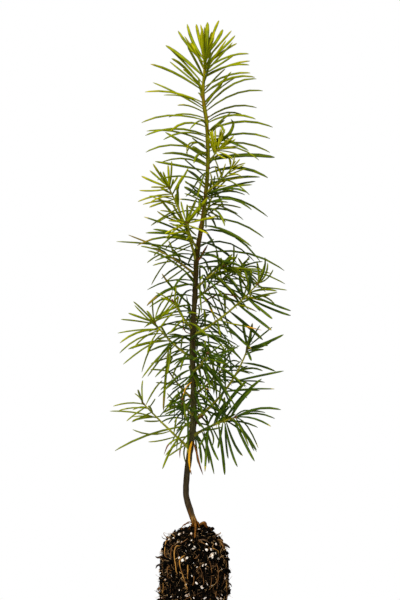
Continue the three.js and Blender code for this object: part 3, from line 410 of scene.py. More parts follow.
# Perlite that shows on the front of the root ball: across and down in the photo's pixels, and its size
FRONT_PERLITE = [
    (168, 538, 1.1), (172.5, 537.5, 1.1), (178.5, 533.5, 1.1), (183, 531, 0.83), (191, 533, 1.1),
    (191.5, 539.5, 0.66), (177, 541.5, 0.83), (181, 541.5, 0.83), (189.5, 544.5, 0.99),
    (195, 546.5, 1.26), (193, 548.5, 0.99), (207.5, 544, 1.1), (216.5, 544, 1.65), (206, 550, 1.54),
    (212, 550, 1.65), (216, 553, 1.1), (211.5, 556, 3.0), (186, 551, 0.55), (178.5, 557.5, 0.83),
    (182, 560.5, 1.38), (187, 558.5, 1.38), (163.5, 556.5, 0.66), (219.5, 559, 0.99), (203, 565, 1.38),
    (206.5, 564.5, 0.99), (206, 569, 0.83), (197, 567, 0.66), (193.5, 563, 0.66), (171, 575.5, 0.99),
    (165, 580, 1.1), (169, 581, 0.83), (192, 576, 0.99), (197, 583.5, 1.98), (207.5, 584, 1.38),
    (202.5, 587.5, 1.54), (209.5, 587, 0.83), (213, 586, 0.66), (215.5, 586, 0.83), (223, 569, 1.1),
    (225.5, 578.5, 1.65), (218.5, 584, 1.1), (185.5, 584.5, 0.83), (187, 595.5, 1.65),
    (189.3, 594.5, 1.1), (178.5, 590, 1.1), (170, 597, 0.83), (177, 597, 0.83), (193.5, 598, 1.1),
    (227.5, 591, 0.83), (223, 595, 1.1), (205, 598, 1.38), (217, 598, 1.65), (221.5, 599, 1.65),
    (161, 598, 1.1), (199.5, 523.5, 0.83), (207, 531, 1.21),
]


# Numbers and paths

def mix(a, b, t):
    """The straight line from a at t = 0 to b at t = 1."""
    return a + (b - a) * t


def chance(a, b):
    """Steady random numbers in 0..1: the fractional part of sin(127.1 a + 311.7 b) * 43758.5453."""
    wave = np.sin(np.asarray(a, float) * 127.1 + np.asarray(b, float) * 311.7) * 43758.5453
    return wave - np.floor(wave)


def ramp(value, low, high):
    """0 below low, 1 above high, and the smoothstep 3t^2 - 2t^3 between."""
    t = np.clip((value - low) / (high - low), 0, 1)
    return t * t * (3 - 2 * t)


def unit(vectors):
    """Vectors brought to length 1."""
    return vectors / np.maximum(np.linalg.norm(vectors, axis=-1, keepdims=True), 1e-12)


def dot(a, b):
    """Scalar products of vectors, kept as one column."""
    return np.sum(a * b, axis=-1, keepdims=True)


def grain(points, size, seed=0.0):
    """Smooth random field in -1..1: lattice points `size` apart get a hashed value, and each
    point takes the trilinear mix of its eight, with the shares eased by 3t^2 - 2t^3."""
    place = points / size
    cell = np.floor(place)
    share = place - cell
    share = share * share * (3 - 2 * share)
    total = np.zeros(points.shape[:-1])
    for corner in np.ndindex(2, 2, 2):
        at = cell + corner
        hashed = np.sin(at @ np.array([127.1, 311.7, 74.7]) + seed * 17.3) * 43758.5453
        weight = np.prod(np.where(corner, share, 1 - share), axis=-1)
        total += weight * (hashed - np.floor(hashed))
    return total * 2 - 1


def seen_at(points):
    """Where the camera sees points, in pixels of the photo: off its middle by their share across and
    up, times the camera's distance over theirs along the view."""
    off = points - CAMERA
    scale = CAMERA_DISTANCE / PIXEL / (off @ FORWARD)
    return PHOTO_SIZE / 2 + np.stack([off @ RIGHT, -(off @ PICTURE_UP)], axis=-1) * scale[..., None]


def on_ray(across, down, depth):
    """The points of pixels' rays at given depths, which count along Y."""
    across = np.asarray(across, float)[..., None] - PHOTO_SIZE[0] / 2
    down = np.asarray(down, float)[..., None] - PHOTO_SIZE[1] / 2
    ray = FORWARD * CAMERA_DISTANCE / PIXEL + RIGHT * across - PICTURE_UP * down
    return CAMERA + ray * (np.asarray(depth, float)[..., None] - CAMERA[1]) / ray[..., 1:2]


def stem_centre(height):
    """Cubic Hermite spline by height through STEM_ROUTE: at each knot the slope is that of the
    straight line between its two neighbours."""
    height = np.asarray(height, float)
    last = len(STEM_ROUTE) - 1
    i = np.clip(np.searchsorted(STEM_ROUTE[:, 2], height, side="right") - 1, 0, last - 1)
    before, start = STEM_ROUTE[np.maximum(i - 1, 0)], STEM_ROUTE[i]
    end, after = STEM_ROUTE[i + 1], STEM_ROUTE[np.minimum(i + 2, last)]
    span = (end - start)[..., 2:]
    u = (height[..., None] - start[..., 2:]) / span
    slope_in = (end - before) / (end - before)[..., 2:] * span
    slope_out = (after - start) / (after - start)[..., 2:] * span
    point = (2 * u**3 - 3 * u**2 + 1) * start + (u**3 - 2 * u**2 + u) * slope_in
    point = point + (-2 * u**3 + 3 * u**2) * end + (u**3 - u**2) * slope_out
    point[..., 2] = height + SOIL_HEIGHT
    return point


def stem_tangent(height):
    """Heading of the stem's centre line, from two of its points 0.1 mm apart."""
    return unit(stem_centre(height + 0.05) - stem_centre(height - 0.05))


def stem_radius(height):
    """Half the girth, which falls with height to the power 1.45, plus a flare that fades upward."""
    share = np.clip(height / STEM_HEIGHT, 0, 1)
    girth = STEM_GIRTH - (STEM_GIRTH - STEM_TIP_GIRTH) * share**STEM_TAPER_POWER
    return girth / 2 + FLARE * np.exp(-np.maximum(height, 0) / FLARE_HEIGHT)


def plug_radius(z):
    """Distance of the plug's skin from its axis at height z: a superellipse shoulder of power 2.6
    over a straight taper."""
    shoulder = np.clip((PLUG_TOP - z) / SHOULDER_DEPTH, 0, 1)
    rounding = np.sqrt(1 - (1 - shoulder) ** SHOULDER_POWER)
    body = mix(PLUG_RADIUS, PLUG_LOW_RADIUS, np.clip((TAPER_FROM - z) / TAPER_FROM, 0, 1))
    return mix(PLUG_SEAT_RADIUS, body, rounding)


def through(points, count):
    """A Catmull-Rom curve: between two knots the cubic whose end slopes are half the span of the
    neighbours. points is (..., knots, 2 or 3), and count samples come back for each curve."""
    knots = np.concatenate([2 * points[..., :1, :] - points[..., 1:2, :], points,
                            2 * points[..., -1:, :] - points[..., -2:-1, :]], axis=-2)
    along = np.linspace(0, points.shape[-2] - 1, count)
    i = np.minimum(along.astype(int), points.shape[-2] - 2)
    u = (along - i)[:, None]
    a, b, c, d = (knots[..., i + k, :] for k in range(4))
    bend, twist = 2 * a - 5 * b + 4 * c - d, 3 * b - a - 3 * c + d
    return 0.5 * (2 * b + (c - a) * u + bend * u**2 + twist * u**3)


def rings_along(path, radius, sides, start=None):
    """Circles carried along paths: at each point the circle lies across the path's slope, with its
    first point on the side nearest to a fixed direction, so that it never twists.
    path is (..., steps, 3) and radius (..., steps) or (..., steps, sides)."""
    slope = unit(np.gradient(path, axis=-2))
    chord = unit(path[..., -1:, :] - path[..., :1, :])
    helper = np.where(np.abs(chord[..., 1:2]) > 0.8, [1.0, 0, 0], [0, 1.0, 0]) if start is None else start
    side = np.cross(chord, helper) if start is None else np.broadcast_to(start, path.shape)
    side = unit(side - dot(side, slope) * slope)
    other = np.cross(slope, side)
    angle = np.arange(sides) * 2 * np.pi / sides
    if radius.ndim < path.ndim:
        radius = radius[..., None]
    across = side[..., None, :] * np.cos(angle)[:, None] + other[..., None, :] * np.sin(angle)[:, None]
    return path[..., None, :] + across * radius[..., None]


# Meshes

class Skin:
    """Collects closed skins made of rings or lumps, and makes one joined mesh piece of them."""

    def __init__(self):
        self.points, self.quads, self.tris = [], [], []
        self.quad_finish, self.tri_finish = [], []
        self.count = 0

    def rings(self, rings, finish=0):
        """rings is (..., steps, sides, 3), counted anticlockwise as seen from the far end. The two
        ends are closed by a fan to their middle. finish is a number or an array that fits
        (batch, steps - 1, sides)."""
        steps, sides = rings.shape[-3:-1]
        rings = rings.reshape(-1, steps, sides, 3)
        batch = len(rings)
        ring_ids = np.arange(batch * steps * sides).reshape(batch, steps, sides) + self.count
        next_ids = np.roll(ring_ids, -1, axis=2)
        quads = np.stack([ring_ids[:, :-1], next_ids[:, :-1], next_ids[:, 1:], ring_ids[:, 1:]], axis=-1)
        first = self.count + batch * steps * sides + np.arange(batch)
        last = first + batch
        first, last = (np.broadcast_to(middle[:, None], (batch, sides)) for middle in (first, last))
        near = np.stack([first, next_ids[:, 0], ring_ids[:, 0]], -1)
        far = np.stack([last, ring_ids[:, -1], next_ids[:, -1]], -1)
        finish = np.broadcast_to(finish, (batch, steps - 1, sides))
        self.points += [rings.reshape(-1, 3), rings[:, 0].mean(axis=1), rings[:, -1].mean(axis=1)]
        self.quads.append(quads.reshape(-1, 4))
        self.tris += [near.reshape(-1, 3), far.reshape(-1, 3)]
        self.quad_finish.append(finish.reshape(-1))
        self.tri_finish += [finish[:, 0].reshape(-1), finish[:, -1].reshape(-1)]
        self.count += batch * (steps * sides + 2)

    def lumps(self, points, tris, finish=0):
        """points is (batch, corners, 3) on the same triangles, and finish one number for each lump."""
        batch, corners = points.shape[:2]
        ids = tris[None] + (np.arange(batch) * corners)[:, None, None] + self.count
        self.points.append(points.reshape(-1, 3))
        self.tris.append(ids.reshape(-1, 3))
        finish = np.broadcast_to(np.reshape(finish, (-1, 1)), (batch, len(tris)))
        self.tri_finish.append(finish.reshape(-1))
        self.count += batch * corners

    def piece(self, name, finishes, replaces, smooth=True):
        """Makes one object in metres of all that was collected, with the finishes in use."""
        quads = np.concatenate(self.quads) if self.quads else np.zeros((0, 4), int)
        tris = np.concatenate(self.tris) if self.tris else np.zeros((0, 3), int)
        finish = np.concatenate(self.quad_finish + self.tri_finish).astype(int)
        used, finish = np.unique(finish, return_inverse=True)
        points = np.concatenate(self.points) * MM
        mesh = bpy.data.meshes.new(name)
        mesh.vertices.add(len(points))
        mesh.vertices.foreach_set("co", points.astype(np.float32).ravel())
        mesh.loops.add(quads.size + tris.size)
        corners = np.concatenate([quads.ravel(), tris.ravel()])
        mesh.loops.foreach_set("vertex_index", corners.astype(np.int32))
        mesh.polygons.add(len(quads) + len(tris))
        starts = np.concatenate([np.arange(len(quads)) * 4, quads.size + np.arange(len(tris)) * 3])
        mesh.polygons.foreach_set("loop_start", starts.astype(np.int32))
        mesh.polygons.foreach_set("material_index", finish.astype(np.int32))
        mesh.polygons.foreach_set("use_smooth", np.full(len(starts), smooth))
        mesh.update(calc_edges=True)
        for number in used:
            mesh.materials.append(finishes[number])
        made = bpy.data.objects.new(name, mesh)
        bpy.context.scene.collection.objects.link(made)
        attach(made, "root")
        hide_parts(*replaces)
        return made


# Finishes

# The tan of the stem's foot ends this far above or below its mean height, by the patches
TONE_WANDER = 7 * MM


def linear(code):
    """sRGB hex to linear: c / 12.92 up to 0.04045, and ((c + 0.055) / 1.055) ^ 2.4 above."""
    channels = np.array([int(code[i:i + 2], 16) / 255 for i in (1, 3, 5)])
    low, high = channels / 12.92, ((channels + 0.055) / 1.055) ** 2.4
    return (*np.where(channels <= 0.04045, low, high), 1.0)


def add(tree, kind, settings=(), links=(), stops=()):
    """Adds a node: settings go to its attributes or inputs, links join its inputs to other
    nodes' outputs, and stops are a ramp's places and colours."""
    made = tree.nodes.new(kind)
    for key, value in dict(settings).items():
        if isinstance(key, str) and hasattr(made, key):
            setattr(made, key, value)
        else:
            made.inputs[key].default_value = value
    for key, output in dict(links).items():
        tree.links.new(output, made.inputs[key])
    if stops:
        bar = made.color_ramp.elements
        while len(bar) < len(stops):
            bar.new(1.0)
        for element, (place, code) in zip(bar, stops):
            element.position = place
            element.color = linear(code)
    return made


def finish(name):
    """A bare material, its node tree, and the place on the object in metres."""
    material = bpy.data.materials.new(name)
    material.use_nodes = True
    tree = material.node_tree
    tree.nodes.clear()
    return material, tree, add(tree, "ShaderNodeTexCoord").outputs["Object"]


def surfaced(tree, shader):
    """Makes the shader the material's surface."""
    add(tree, "ShaderNodeOutputMaterial", links={"Surface": shader.outputs[0]})


def needle_finish(name, light, dark, roughness=0.5):
    """Fresh conifer needle, a thick waxy cuticle over green tissue: satin, mottled lighter and darker in
    patches some 5 mm long between its lit and its shaded colour, partly random tone and partly painted light
    and shade, with the dimples of its breathing pores, drawn 0.4 mm apart so that they show."""
    material, tree, place = finish(name)
    mottle = add(tree, "ShaderNodeTexNoise", {"Scale": 1 / (5 * MM), "Detail": 3.0}, {"Vector": place})
    # The mottle runs from the needle's shaded colour to its lit one: partly painted light and shade.
    tone = add(tree, "ShaderNodeValToRGB", links={"Fac": mottle.outputs["Fac"]},
               stops=[(0.24, dark), (0.72, light)])
    pores = add(tree, "ShaderNodeTexNoise", {"Scale": 1 / (0.4 * MM), "Detail": 1.0}, {"Vector": place})
    relief = add(tree, "ShaderNodeBump", {"Strength": 0.25, "Distance": 0.05 * MM},
                 {"Height": pores.outputs["Fac"]})
    shader = add(tree, "ShaderNodeBsdfPrincipled",
                 {"Roughness": roughness, "IOR": 1.45, "Specular IOR Level": 0.16,
                  "Specular Tint": (0.9, 1.0, 0.35, 1.0)},
                 {"Base Color": tone.outputs["Color"], "Normal": relief.outputs["Normal"]})
    surfaced(tree, shader)
    return material


# Tints of fresh needles, from the dark foot of the crown to its pale tip, partly their own colour and partly
# painted shade: name, and the lit and the shaded colour that needle_finish mottles together
NEEDLE_TINTS = [
    ("needle_blue_green", "#33551c", "#15280a"),
    ("needle_deep_green", "#476112", "#1f3307"),
    ("needle_dark_green", "#596f0a", "#2b3f05"),
    ("needle_mid_green", "#707f08", "#3d5003"),
    ("needle_leaf_green", "#838e04", "#505f02"),
    ("needle_yellow_green", "#8f9b00", "#5d6c00"),
    ("needle_lime", "#a0a600", "#6e7600"),
    ("needle_young_lime", "#b4b202", "#828400"),
    ("needle_pale_yellow", "#c6ca1c", "#9aa006"),
]
TINTS = len(NEEDLE_TINTS)
SHEATH, STRAW_TIP, GOLD, RUST, DRY_BROWN, SCORCHED = range(TINTS, TINTS + 6)


def needle_finishes():
    """All finishes of the needles, in the order of NEEDLE_TINTS and the numbers after it."""
    made = [needle_finish(name, light, dark) for name, light, dark in NEEDLE_TINTS]
    made.append(needle_finish("needle_foot", "#969a1c", "#686c10", 0.5))
    made.append(needle_finish("needle_straw_tip", "#bcb23c", "#948a22", 0.5))
    made.append(needle_finish("spent_needle_gold", "#f4b92a", "#d69a18", 0.5))
    made.append(needle_finish("spent_needle_rust", "#855228", "#583216", 0.6))
    made.append(needle_finish("spent_needle_brown", "#6b4423", "#3f2514", 0.7))
    made.append(needle_finish("needle_scorched", "#8c7e22", "#685a14", 0.6))
    return made


def bark_finish(name, tones, furrow_low, furrow_high):
    """Thin bark of a first-year stem, grown: matt, grey-brown and finely furrowed low down, tan where the
    soil kept it moist, with an uneven edge, browner and smoother further up, and olive-orange green wood
    under the leader. Furrows 0.35 mm apart run lengthwise, so the pattern is stretched twelve times along the
    stem. They darken it in their hollows, where the bump sinks them, as painted shade, by one share at the
    soil and another at the tip, and patches 2.2 mm wide cloud it."""
    material, tree, place = finish(name)
    split = add(tree, "ShaderNodeSeparateXYZ", links={"Vector": place})
    span = {"From Min": SOIL_HEIGHT * MM, "From Max": (SOIL_HEIGHT + STEM_HEIGHT) * MM}
    lengthwise = add(tree, "ShaderNodeMapping", {"Scale": (1.0, 1.0, 1 / 12)}, {"Vector": place})
    furrows = add(tree, "ShaderNodeTexNoise", {"Scale": 1 / (0.35 * MM), "Detail": 4.0, "Roughness": 0.65},
                  {"Vector": lengthwise.outputs["Vector"]})
    patches = add(tree, "ShaderNodeTexNoise", {"Scale": 1 / (2.2 * MM), "Detail": 3.0},
                  {"Vector": lengthwise.outputs["Vector"]})
    uneven = add(tree, "ShaderNodeMath", {"operation": "MULTIPLY_ADD", 1: 2 * TONE_WANDER, 2: -TONE_WANDER},
                 {0: patches.outputs["Fac"]})
    edge = add(tree, "ShaderNodeMath", {"operation": "ADD"}, {0: split.outputs["Z"], 1: uneven.outputs[0]})
    share = add(tree, "ShaderNodeMapRange", span, {"Value": edge.outputs[0]})
    height = add(tree, "ShaderNodeValToRGB", links={"Fac": share.outputs["Result"]}, stops=tones)
    # The furrows' hollows are darkened here by the same field that sinks them in the bump: painted shade.
    depth = add(tree, "ShaderNodeValToRGB", links={"Fac": furrows.outputs["Fac"]},
                stops=[(0.32, "#2a2018"), (0.5, "#a08c70"), (0.66, "#ffffff")])
    fade = add(tree, "ShaderNodeMapRange", {**span, "To Min": furrow_low, "To Max": furrow_high},
               {"Value": split.outputs["Z"]})
    furrow_shaded = add(tree, "ShaderNodeMix", {"data_type": "RGBA", "blend_type": "MULTIPLY"},
               {0: fade.outputs["Result"], 6: height.outputs["Color"], 7: depth.outputs["Color"]})
    cloud = add(tree, "ShaderNodeValToRGB", links={"Fac": patches.outputs["Fac"]},
                stops=[(0.38, "#a07a50"), (0.6, "#ffffff")])
    tone = add(tree, "ShaderNodeMix", {"data_type": "RGBA", "blend_type": "MULTIPLY", "Factor": 0.6},
               {6: furrow_shaded.outputs[2], 7: cloud.outputs["Color"]})
    relief = add(tree, "ShaderNodeBump", {"Strength": 0.7, "Distance": 0.12 * MM},
                 {"Height": furrows.outputs["Fac"]})
    shader = add(tree, "ShaderNodeBsdfPrincipled",
                 {"Roughness": 0.72, "IOR": 1.45, "Specular IOR Level": 0.15},
                 {"Base Color": tone.outputs[2], "Normal": relief.outputs["Normal"]})
    surfaced(tree, shader)
    return material


def shoot_bark_finish(name, light, mid, dark):
    """Green wood of this year's side shoot, grown: smooth and slightly waxy, yellow-green with
    browner patches 4 mm wide where the sun reached it, and a fine roughness 0.3 mm wide."""
    material, tree, place = finish(name)
    patches = add(tree, "ShaderNodeTexNoise", {"Scale": 1 / (4 * MM), "Detail": 4.0}, {"Vector": place})
    pips = add(tree, "ShaderNodeTexNoise", {"Scale": 1 / (0.3 * MM), "Detail": 2.0}, {"Vector": place})
    tone = add(tree, "ShaderNodeValToRGB", links={"Fac": patches.outputs["Fac"]},
               stops=[(0.3, dark), (0.5, mid), (0.68, light)])
    relief = add(tree, "ShaderNodeBump", {"Strength": 0.4, "Distance": 0.06 * MM},
                 {"Height": pips.outputs["Fac"]})
    shader = add(tree, "ShaderNodeBsdfPrincipled",
                 {"Roughness": 0.5, "IOR": 1.45, "Specular IOR Level": 0.2},
                 {"Base Color": tone.outputs["Color"], "Normal": relief.outputs["Normal"]})
    surfaced(tree, shader)
    return material


def bud_finish():
    """Resting bud of overlapping papery scales glued by resin: red-brown with darker edges some
    0.5 mm apart, and a tight shine."""
    material, tree, place = finish("bud_scales")
    scales = add(tree, "ShaderNodeTexVoronoi", {"Scale": 1 / (0.5 * MM)}, {"Vector": place})
    tone = add(tree, "ShaderNodeValToRGB", links={"Fac": scales.outputs["Distance"]},
               stops=[(0.1, "#935a2a"), (0.6, "#623617")])
    relief = add(tree, "ShaderNodeBump", {"Strength": 0.6, "Distance": 0.1 * MM, "invert": True},
                 {"Height": scales.outputs["Distance"]})
    shader = add(tree, "ShaderNodeBsdfPrincipled", {"Roughness": 0.35, "IOR": 1.5},
                 {"Base Color": tone.outputs["Color"], "Normal": relief.outputs["Normal"]})
    surfaced(tree, shader)
    return material


def peat_finish(name, light, mid, dark):
    """Moist milled sphagnum peat pressed in a plug cell: nearly black, crumbly and matt, with
    brown fibres. Crumbs are 0.8 mm across, and the flecks of its relief 0.25 mm."""
    material, tree, place = finish(name)
    crumbs = add(tree, "ShaderNodeTexNoise", {"Scale": 1 / (0.8 * MM), "Detail": 6.0, "Roughness": 0.7},
                 {"Vector": place})
    flecks = add(tree, "ShaderNodeTexNoise", {"Scale": 1 / (0.25 * MM), "Detail": 3.0}, {"Vector": place})
    tone = add(tree, "ShaderNodeValToRGB", links={"Fac": crumbs.outputs["Fac"]},
               stops=[(0.38, dark), (0.55, mid), (0.74, light)])
    relief = add(tree, "ShaderNodeBump", {"Strength": 0.9, "Distance": 0.3 * MM},
                 {"Height": flecks.outputs["Fac"]})
    shader = add(tree, "ShaderNodeBsdfPrincipled",
                 {"Roughness": 0.92, "IOR": 1.4, "Specular IOR Level": 0.06},
                 {"Base Color": tone.outputs["Color"], "Normal": relief.outputs["Normal"]})
    surfaced(tree, shader)
    return material


def root_finish(name, light, dark):
    """Living root skin, grown through moist peat: smooth, faintly glossy with water, tan with
    brown stretches some 3 mm long."""
    material, tree, place = finish(name)
    stretches = add(tree, "ShaderNodeTexNoise", {"Scale": 1 / (3 * MM), "Detail": 5.0}, {"Vector": place})
    tone = add(tree, "ShaderNodeValToRGB", links={"Fac": stretches.outputs["Fac"]},
               stops=[(0.36, dark), (0.62, light)])
    relief = add(tree, "ShaderNodeBump", {"Strength": 0.3, "Distance": 0.1 * MM},
                 {"Height": stretches.outputs["Fac"]})
    shader = add(tree, "ShaderNodeBsdfPrincipled",
                 {"Roughness": 0.55, "IOR": 1.4, "Specular IOR Level": 0.3},
                 {"Base Color": tone.outputs["Color"], "Normal": relief.outputs["Normal"]})
    surfaced(tree, shader)
    return material


def perlite_finish():
    """Perlite, volcanic glass puffed by heat: white, matt and full of pores 0.3 mm across, with
    a little peat rubbed in, in smears 1.5 mm wide."""
    material, tree, place = finish("perlite")
    pores = add(tree, "ShaderNodeTexVoronoi", {"Scale": 1 / (0.3 * MM)}, {"Vector": place})
    smears = add(tree, "ShaderNodeTexNoise", {"Scale": 1 / (1.5 * MM), "Detail": 4.0}, {"Vector": place})
    tone = add(tree, "ShaderNodeValToRGB", links={"Fac": smears.outputs["Fac"]},
               stops=[(0.38, "#8a6c54"), (0.5, "#e4d8cc"), (0.62, "#ffffff")])
    relief = add(tree, "ShaderNodeBump", {"Strength": 0.5, "Distance": 0.1 * MM},
                 {"Height": pores.outputs["Distance"]})
    shader = add(tree, "ShaderNodeBsdfPrincipled", {"Roughness": 0.8, "IOR": 1.5},
                 {"Base Color": tone.outputs["Color"], "Normal": relief.outputs["Normal"]})
    surfaced(tree, shader)
    return material


# Needles

NEEDLE_STATIONS = np.array([0, 0.05, 0.18, 0.36, 0.56, 0.76, 0.93, 1.0])
# Section from edge to edge: the upper face with its two bevels, then the lower one
NEEDLE_SECTION = np.array([
    [1.0, 0.0], [0.5, 0.85], [-0.5, 0.85], [-1.0, 0.0], [-0.5, -0.85], [0.5, -0.85],
])
NEEDLE_SIDES = len(NEEDLE_SECTION)
CARRIED_STEPS = 16
CARRIED_OUTER = 10


def needle_rings(root, start, pull, facing, roll, width, toward=TO_LIGHT):
    """Flat needles: each path is root + a s + p s^2 / 2, where a is the way it sets out and p the pull
    that bends it. The section grows from 0.4 of its width at the foot to all of it at s = 0.3, and
    narrows by 1 - 0.78 t^3 over the outer quarter to a blunt tip. Its upper face turns about the
    needle by LIGHT_TURN of the angle that would bring it square to the light, plus roll."""
    s = NEEDLE_STATIONS[None, :, None]
    roll, width = (np.broadcast_to(v, len(root))[:, None, None] for v in (roll, width))
    path = root[:, None] + start[:, None] * s + pull[:, None] * s * s / 2
    slope = unit(start[:, None] + pull[:, None] * s)
    across = unit(np.cross(facing, start))
    lift = np.cross(unit(start), across)
    lean = np.arctan2(-dot(across, toward), dot(lift, toward))
    roll = roll + LIGHT_TURN * lean[..., None]
    turned = across[:, None] * np.cos(roll) + lift[:, None] * np.sin(roll)
    turned = unit(turned - dot(turned, slope) * slope)
    upper = np.cross(slope, turned)
    point = 1 - 0.78 * np.clip((s - 0.76) / 0.24, 0, 1) ** 3
    wide = width / 2 * (0.4 + 0.6 * ramp(s, 0.0, 0.3)) * point
    thick = NEEDLE_THICKNESS / 2 * (0.7 + 0.3 * ramp(s, 0.0, 0.3)) * point**0.8
    section = NEEDLE_SECTION[None, None]
    return (path[:, :, None] + turned[:, :, None] * section[..., :1] * wide[..., None]
            + upper[:, :, None] * section[..., 1:] * thick[..., None])


def needle_zones(tint, seed):
    """Which finish each face of a needle takes: its tint above, one tint darker below as painted shade on the
    lower face, one tint paler at the outer end, a yellow foot, and a straw tip on one needle in 20."""
    tint = np.clip(np.round(tint), 1, TINTS - 1).astype(int)
    shape = (len(tint), len(NEEDLE_STATIONS) - 1, NEEDLE_SIDES)
    zones = np.broadcast_to(tint[:, None, None], shape).copy()
    # The lower face takes one tint darker: painted shade.
    zones[:, :, 3:] -= 1
    zones[:, 5:] = np.minimum(zones[:, 5:] + 1, TINTS - 1)
    zones[:, :1] = SHEATH
    straw = chance(seed, 8) < 0.05
    zones[straw, 6:] = STRAW_TIP
    return zones


# Half the width of the strip before the stem that is kept clear, and how far under the tip it ends
CLEAR_STRIP = 2.2
STRIP_END = 10.0


def hides_stem(root, start, pull):
    """Whether two or more of four points along a needle's path lie before the stem, seen from the
    front. Such needles are left out, for the stem shows nearly all the way up."""
    s = np.array([0.3, 0.5, 0.7, 0.9])[None, :, None]
    path = root[:, None] + start[:, None] * s + pull[:, None] * s * s / 2
    height = path[..., 2] - SOIL_HEIGHT
    centre = stem_centre(np.clip(height, 0, STEM_HEIGHT - 0.1))
    before = (np.abs(path[..., 0] - centre[..., 0]) < CLEAR_STRIP) & (path[..., 1] < centre[..., 1] - 1)
    return (before & (height < STEM_HEIGHT - STRIP_END)).sum(axis=1) >= 2


def grow_needles(skin, root, heading, facing, length, droop, tint, seed, width=NEEDLE_WIDTH, curl=1.0):
    """Needles by the rule: they set out along their heading, droop by their own share of their
    length, and bend sideways and roll at random."""
    bend = (chance(seed, 7) - 0.5) * 0.9 * curl
    across = unit(np.cross(facing, heading))
    start = heading * length[:, None]
    pull = (across * bend[:, None] - UP * droop[:, None]) * length[:, None]
    roll = (chance(seed, 6) - 0.5) * 1.5
    breadth = width * mix(0.85, 1.15, chance(seed, 9))
    kept = ~hides_stem(root, start, pull)
    skin.rings(needle_rings(root[kept], start[kept], pull[kept], facing[kept], roll[kept], breadth[kept]),
               needle_zones(tint[kept], seed[kept]))


def limb_points(limb):
    """Places along a limb, closely spaced, and the points where they are."""
    if limb == "leader":
        places = np.linspace(40, STEM_HEIGHT + TIP_TWIG_LENGTH, LEADER_SAMPLES)
        return places, on_leader(places)[0]
    places = np.linspace(0.05, 1, SHOOT_SAMPLES)
    row = next(row for row in SHOOTS if row[0] == limb)
    return places, shoot_curve(row)[0](places)


def placed_needles(limb):
    """The limb's rows of CLEAR_NEEDLES in millimetres. A row read off the photo has its root where the
    limb is seen nearest to it, on the leader at its height. Its tip is on the ray of its own pixel, as
    deep as its length asks: 0.8 sqrt(length^2 - flat^2), with flat its length in the picture. The
    middle is half as deep. Tips are rounded to 0.5 mm and middles to 0.1 mm, as fine as the photo is."""
    places, points = limb_points(limb)
    seen = seen_at(points)
    rows = []
    for row in CLEAR_NEEDLES[limb]:
        if len(row) == 9:
            foot, end, middle, (width, tint, side) = row[:2], row[2:4], row[4:6], row[6:]
            if middle[0] is None:
                middle = ((foot[0] + end[0]) / 2, middle[1])
            off = (seen - foot) * ([0, 1] if limb == "leader" else [1, 1])
            nearest = np.argmin(np.sum(off**2, axis=1))
            root = points[nearest]
            flat = (on_ray(*end, root[1]) - root)[[0, 2]]
            depth = math.sqrt(max(CLEAR_LENGTHS[limb] ** 2 - flat @ flat, LEAST_DEPTH**2))
            depth = depth * DEPTH_KEPT * side
            tip = on_ray(*end, root[1] + depth) - root
            lift = np.round(on_ray(*middle, root[1] + depth / 2) - root - tip / 2, 1)
            place = np.round(places[nearest], 1 if limb == "leader" else 2)
            width = width * CLEAR_GIRTHS.get(limb, 1)
            row = (place, *np.round(tip * 2) / 2, lift[0], lift[2], width, tint)
        rows.append(row)
    return np.array(rows, float)


def clear_needles(skin, limb, place, tint, width=NEEDLE_WIDTH):
    """Needles of CLEAR_NEEDLES on one limb. A path through root, lifted middle and tip sets out by
    chord + 4 lift and is pulled back by 8 lift. place gives the root and the limb's heading, tint the
    limb's own tint there, and the face turns to TO_FRONT_LIGHT with a little roll at random."""
    if limb not in CLEAR_NEEDLES:
        return
    rows = placed_needles(limb)
    root, along = place(rows[:, 0])
    lift = np.stack([rows[:, 4], np.zeros(len(rows)), rows[:, 5]], axis=-1)
    seed = 7000 + np.arange(len(rows)) + len(limb) * 60
    roll = (chance(seed, 6) - 0.5) * 0.9
    dying = rows[:, 7] == DYING
    shade = tint(rows[:, 0]) + np.where(dying, 0, rows[:, 7]) * 0.7 + (chance(seed, 4) - 0.5) * 0.5
    zones = needle_zones(shade, seed)
    zones[dying, 5:] = SCORCHED
    skin.rings(needle_rings(root, rows[:, 1:4] + 4 * lift, -8 * lift, along, roll * 0.6,
                            width * rows[:, 6] * CLEAR_WIDTH, TO_FRONT_LIGHT), zones)


def carried_needle(knots, width, inner, outer):
    """A needle with its own curl: the flat section carried along a curve through the knots, with
    its face toward the front. It narrows to its tip by 1 - (0.96 t)^2.5 over its outer half, and its
    finish changes from inner to outer at CARRIED_OUTER of its steps."""
    path = through(np.array(knots, float) + UP * SOIL_HEIGHT, CARRIED_STEPS)
    s = np.linspace(0, 1, CARRIED_STEPS)
    slope = unit(np.gradient(path, axis=0))
    across = unit(np.cross(slope, [0.25, 1.0, 0.1]))
    lift = np.cross(slope, across)
    point = 1 - (np.clip((s - 0.5) / 0.5, 0, 1) * 0.96) ** 2.5
    wide = width / 2 * (0.5 + 0.5 * ramp(s, 0.0, 0.2)) * point
    thick = NEEDLE_THICKNESS / 4 * point**0.8
    rings = (path[:, None] + across[:, None] * NEEDLE_SECTION[None, :, :1] * wide[:, None, None]
             + lift[:, None] * NEEDLE_SECTION[None, :, 1:] * thick[:, None, None])
    zones = np.full((CARRIED_STEPS - 1, NEEDLE_SIDES), inner)
    zones[CARRIED_OUTER:] = outer
    return rings, zones


# Side shoots

def shoot_curve(row):
    """Quadratic curve from the stem to the bud: its control point stands off the chord's middle by
    twice the bow."""
    _, height, tip, bow = row[:4]
    foot = stem_centre(np.array(height))
    end = foot + np.array(tip)
    middle = (foot + end) / 2 + 2 * np.array(bow)

    def at(t):
        t = np.asarray(t, float)[..., None]
        return (1 - t) ** 2 * foot + 2 * t * (1 - t) * middle + t**2 * end

    def slope(t):
        t = np.asarray(t, float)[..., None]
        return unit((1 - t) * (middle - foot) + t * (end - middle))

    return at, slope


